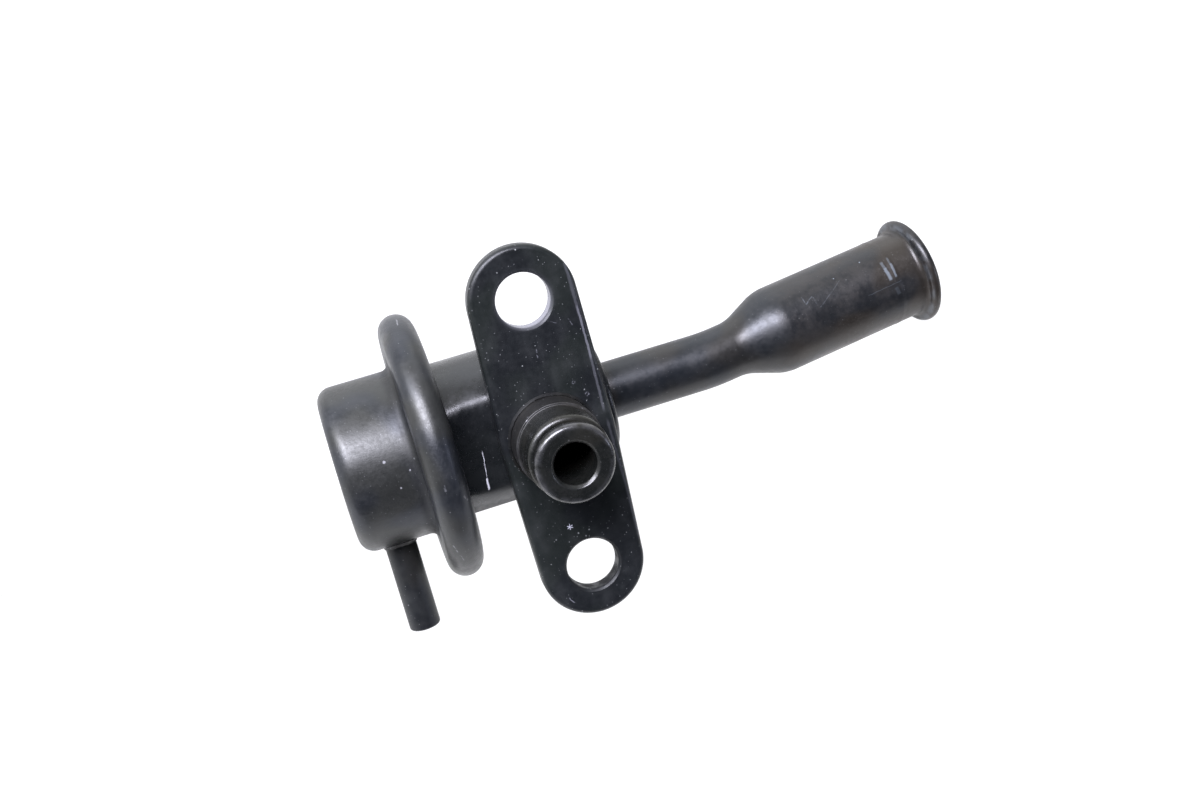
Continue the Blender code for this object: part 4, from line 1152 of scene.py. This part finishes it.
@dataclass
class ValveWorks:
    """Inner pieces, which keep their own shapes and get their finishes."""

    def build(self) -> None:
        """Dresses each inner node of the frame."""
        spring = BareMetal("spring_wire", (0.32, 0.31, 0.30), (0.16, 0.13, 0.10), 0.34)
        plated = BareMetal("plated_steel", (0.58, 0.56, 0.50), (0.36, 0.32, 0.24), 0.30, Line.BODY, 0.0004)
        polished = BareMetal("polished_steel", (0.66, 0.66, 0.67), (0.48, 0.46, 0.44), 0.14)
        brass = BareMetal("turned_brass", (0.74, 0.55, 0.27), (0.42, 0.28, 0.13), 0.27, Line.BODY, 0.0010)
        rubber = RubberedFabric("diaphragm_rubber")
        for finish, nodes in (
            (spring, ("main_spring", "ball_spring")),
            (plated, ("spring_plate", "support_washer", "stem_washer", "valve_retainer")),
            (polished, ("valve_ball", "valve_plate")),
            (brass, ("valve_holder", "valve_seat")),
            (rubber, ("diaphragm",)),
        ):
            surface = finish.material()
            for name in nodes:
                frame["nodes"][name].material_slots[0].material = surface
                LOG.info("%s wears %s", name, surface.name)


# Studio


class Lamp(Enum):
    """Soft lamps: azimuth and elevation in degrees, distance, width and height, power, colour."""

    KEY = (-24.0, 42.0, 0.80, 0.60, 0.30, 18.6, (0.88, 0.87, 1.0))
    TOP = (170.0, 66.0, 0.90, 0.90, 0.60, 1.7, (0.88, 0.92, 1.0))
    LEFT = (-68.0, 42.0, 0.80, 0.30, 0.25, 2.2, (0.92, 0.93, 1.0))
    SIDE = (56.0, -5.0, 0.80, 0.12, 0.20, 0.8, (0.74, 0.78, 1.0))


@dataclass
class Studio:
    """White sweep, soft lamps, world and the camera of the photograph."""

    floor_z: float = -0.12
    floor_front: float = -0.05
    wall_y: float = 0.75
    wall_top: float = 0.85
    half_width: float = 2.6
    bend: float = 0.35
    target: Point = (0.0, 0.008, 0.0)
    dim_room: Colour = (0.058, 0.068, 0.085)
    light_room: Colour = (0.42, 0.44, 0.49)
    room_way: Point = (-0.5, 1.0, 0.9)
    camera_place: Point = (-0.0234399, -0.1699951, 0.0537187)
    camera_angles: Point = (-10.239, 16.309, 14.240)
    focal_length: float = 40.522
    film_width: float = 36.0

    def sweep(self) -> None:
        """A pale floor that curves up into a backdrop."""
        form = bmesh.new()
        front, back = (0, self.floor_front, self.floor_z), (0, self.wall_y, self.floor_z)
        points = [form.verts.new(place) for place in (front, back, (0, self.wall_y, self.wall_top))]
        for pair in zip(points, points[1:]):
            form.edges.new(pair)
        bmesh.ops.bevel(
            form, geom=[points[1]], offset=self.bend, offset_type="OFFSET", segments=24, profile=0.5,
            affect="VERTICES", material=-1,
        )
        bmesh.ops.translate(form, vec=(-self.half_width, 0, 0), verts=form.verts)
        pulled = bmesh.ops.extrude_edge_only(form, edges=form.edges[:])
        moved = [item for item in pulled["geom"] if isinstance(item, bmesh.types.BMVert)]
        bmesh.ops.translate(form, vec=(2 * self.half_width, 0, 0), verts=moved)
        floor = new_object("floor_sweep", form)
        floor.data.shade_smooth()
        made, tree = new_material("white_paper")
        path = tree.node("ShaderNodeLightPath", {}, {})
        seen = Signal(tree, path.outputs["Is Camera Ray"]) + Signal(tree, path.outputs["Is Glossy Ray"])
        seen = (seen + Signal(tree, path.outputs["Is Transmission Ray"])).held()
        paper = tree.signal("ShaderNodeBsdfDiffuse", {}, {"Color": (0.86, 0.86, 0.86, 1)})
        shade = tree.signal("ShaderNodeBsdfDiffuse", {}, {"Color": (0.30, 0.30, 0.30, 1)})
        glow = tree.signal("ShaderNodeEmission", {}, {"Color": (*WHITE, 1), "Strength": 0.90})
        bright = tree.signal("ShaderNodeAddShader", {}, {0: shade, 1: glow})
        surface = tree.signal("ShaderNodeMixShader", {}, {0: seen, 1: paper, 2: bright})
        tree.node("ShaderNodeOutputMaterial", {}, {"Surface": surface})
        floor.data.materials.append(made)

    def world(self) -> None:
        """White behind the object, a dim room on the camera's side."""
        world = bpy.data.worlds.new("studio")
        world.use_nodes = True
        tree = Tree(world.node_tree)
        way = tree.signal("ShaderNodeTexCoord", {}, {}, "Generated")
        behind = tree.vector("DOT_PRODUCT", way, self.room_way, output=1).fade(-0.45, 0.65)
        path = tree.node("ShaderNodeLightPath", {}, {})
        camera, glossy, through = (
            Signal(tree, path.outputs[f"Is {kind} Ray"]) for kind in ("Camera", "Glossy", "Transmission")
        )
        white = (camera + (glossy + through).held() * behind).held()
        room = tree.blend(behind, self.dim_room, self.light_room)
        colour = tree.blend(white, room, WHITE)
        shader = tree.signal("ShaderNodeBackground", {}, {"Color": colour, "Strength": 1.0})
        tree.node("ShaderNodeOutputWorld", {}, {"Surface": shader})
        bpy.context.scene.world = world

    def lamps(self) -> None:
        """Adds the soft lamps, each turned to the object."""
        for lamp in Lamp:
            azimuth, elevation, distance, width, height, power, colour = lamp.value
            turn, lift = math.radians(azimuth), math.radians(elevation)
            level = Vector((math.sin(turn), -math.cos(turn), 0)) * math.cos(lift)
            way = level + Vector((0, 0, math.sin(lift)))
            light = bpy.data.lights.new(lamp.name.lower() + "_lamp", "AREA")
            light.shape = "RECTANGLE"
            light.size, light.size_y = width, height
            light.energy = power
            light.color = colour
            made = bpy.data.objects.new(light.name, light)
            made.location = Vector(self.target) + way * distance
            made.rotation_euler = way.to_track_quat("Z", "Y").to_euler()
            bpy.context.scene.collection.objects.link(made)

    def camera(self) -> None:
        """The camera of the photograph, which is tilted to one side."""
        azimuth, elevation, roll = (math.radians(angle) for angle in self.camera_angles)
        level = Vector((math.sin(azimuth), -math.cos(azimuth), 0)) * math.cos(elevation)
        back = level + Vector((0, 0, math.sin(elevation)))
        right = Vector((math.cos(azimuth), math.sin(azimuth), 0))
        up = back.cross(right)
        tilted_right = right * math.cos(roll) - up * math.sin(roll)
        tilted_up = right * math.sin(roll) + up * math.cos(roll)
        turn = Matrix((tilted_right, tilted_up, back)).transposed()
        lens = bpy.data.cameras.new("photo_camera")
        lens.lens = self.focal_length
        lens.sensor_width = self.film_width
        lens.clip_start = 0.001
        made = bpy.data.objects.new("photo_camera", lens)
        made.matrix_world = Matrix.Translation(self.camera_place) @ turn.to_4x4()
        bpy.context.scene.collection.objects.link(made)
        bpy.context.scene.camera = made

    def build(self) -> None:
        """Sets the studio up."""
        self.sweep()
        self.world()
        self.lamps()
        self.camera()
        bpy.context.scene.view_settings.view_transform = "Standard"
        LOG.info("studio ready")


def main() -> None:
    """Builds and dresses every piece, then sets the studio up."""
    logging.basicConfig(level=logging.INFO, format="%(message)s")
    for assembly in (Flange, Inlet, FuelHousing, SpringChamber, ReturnLine, ValveWorks, Studio):
        assembly().build()


if __name__ == "__main__":
    main()
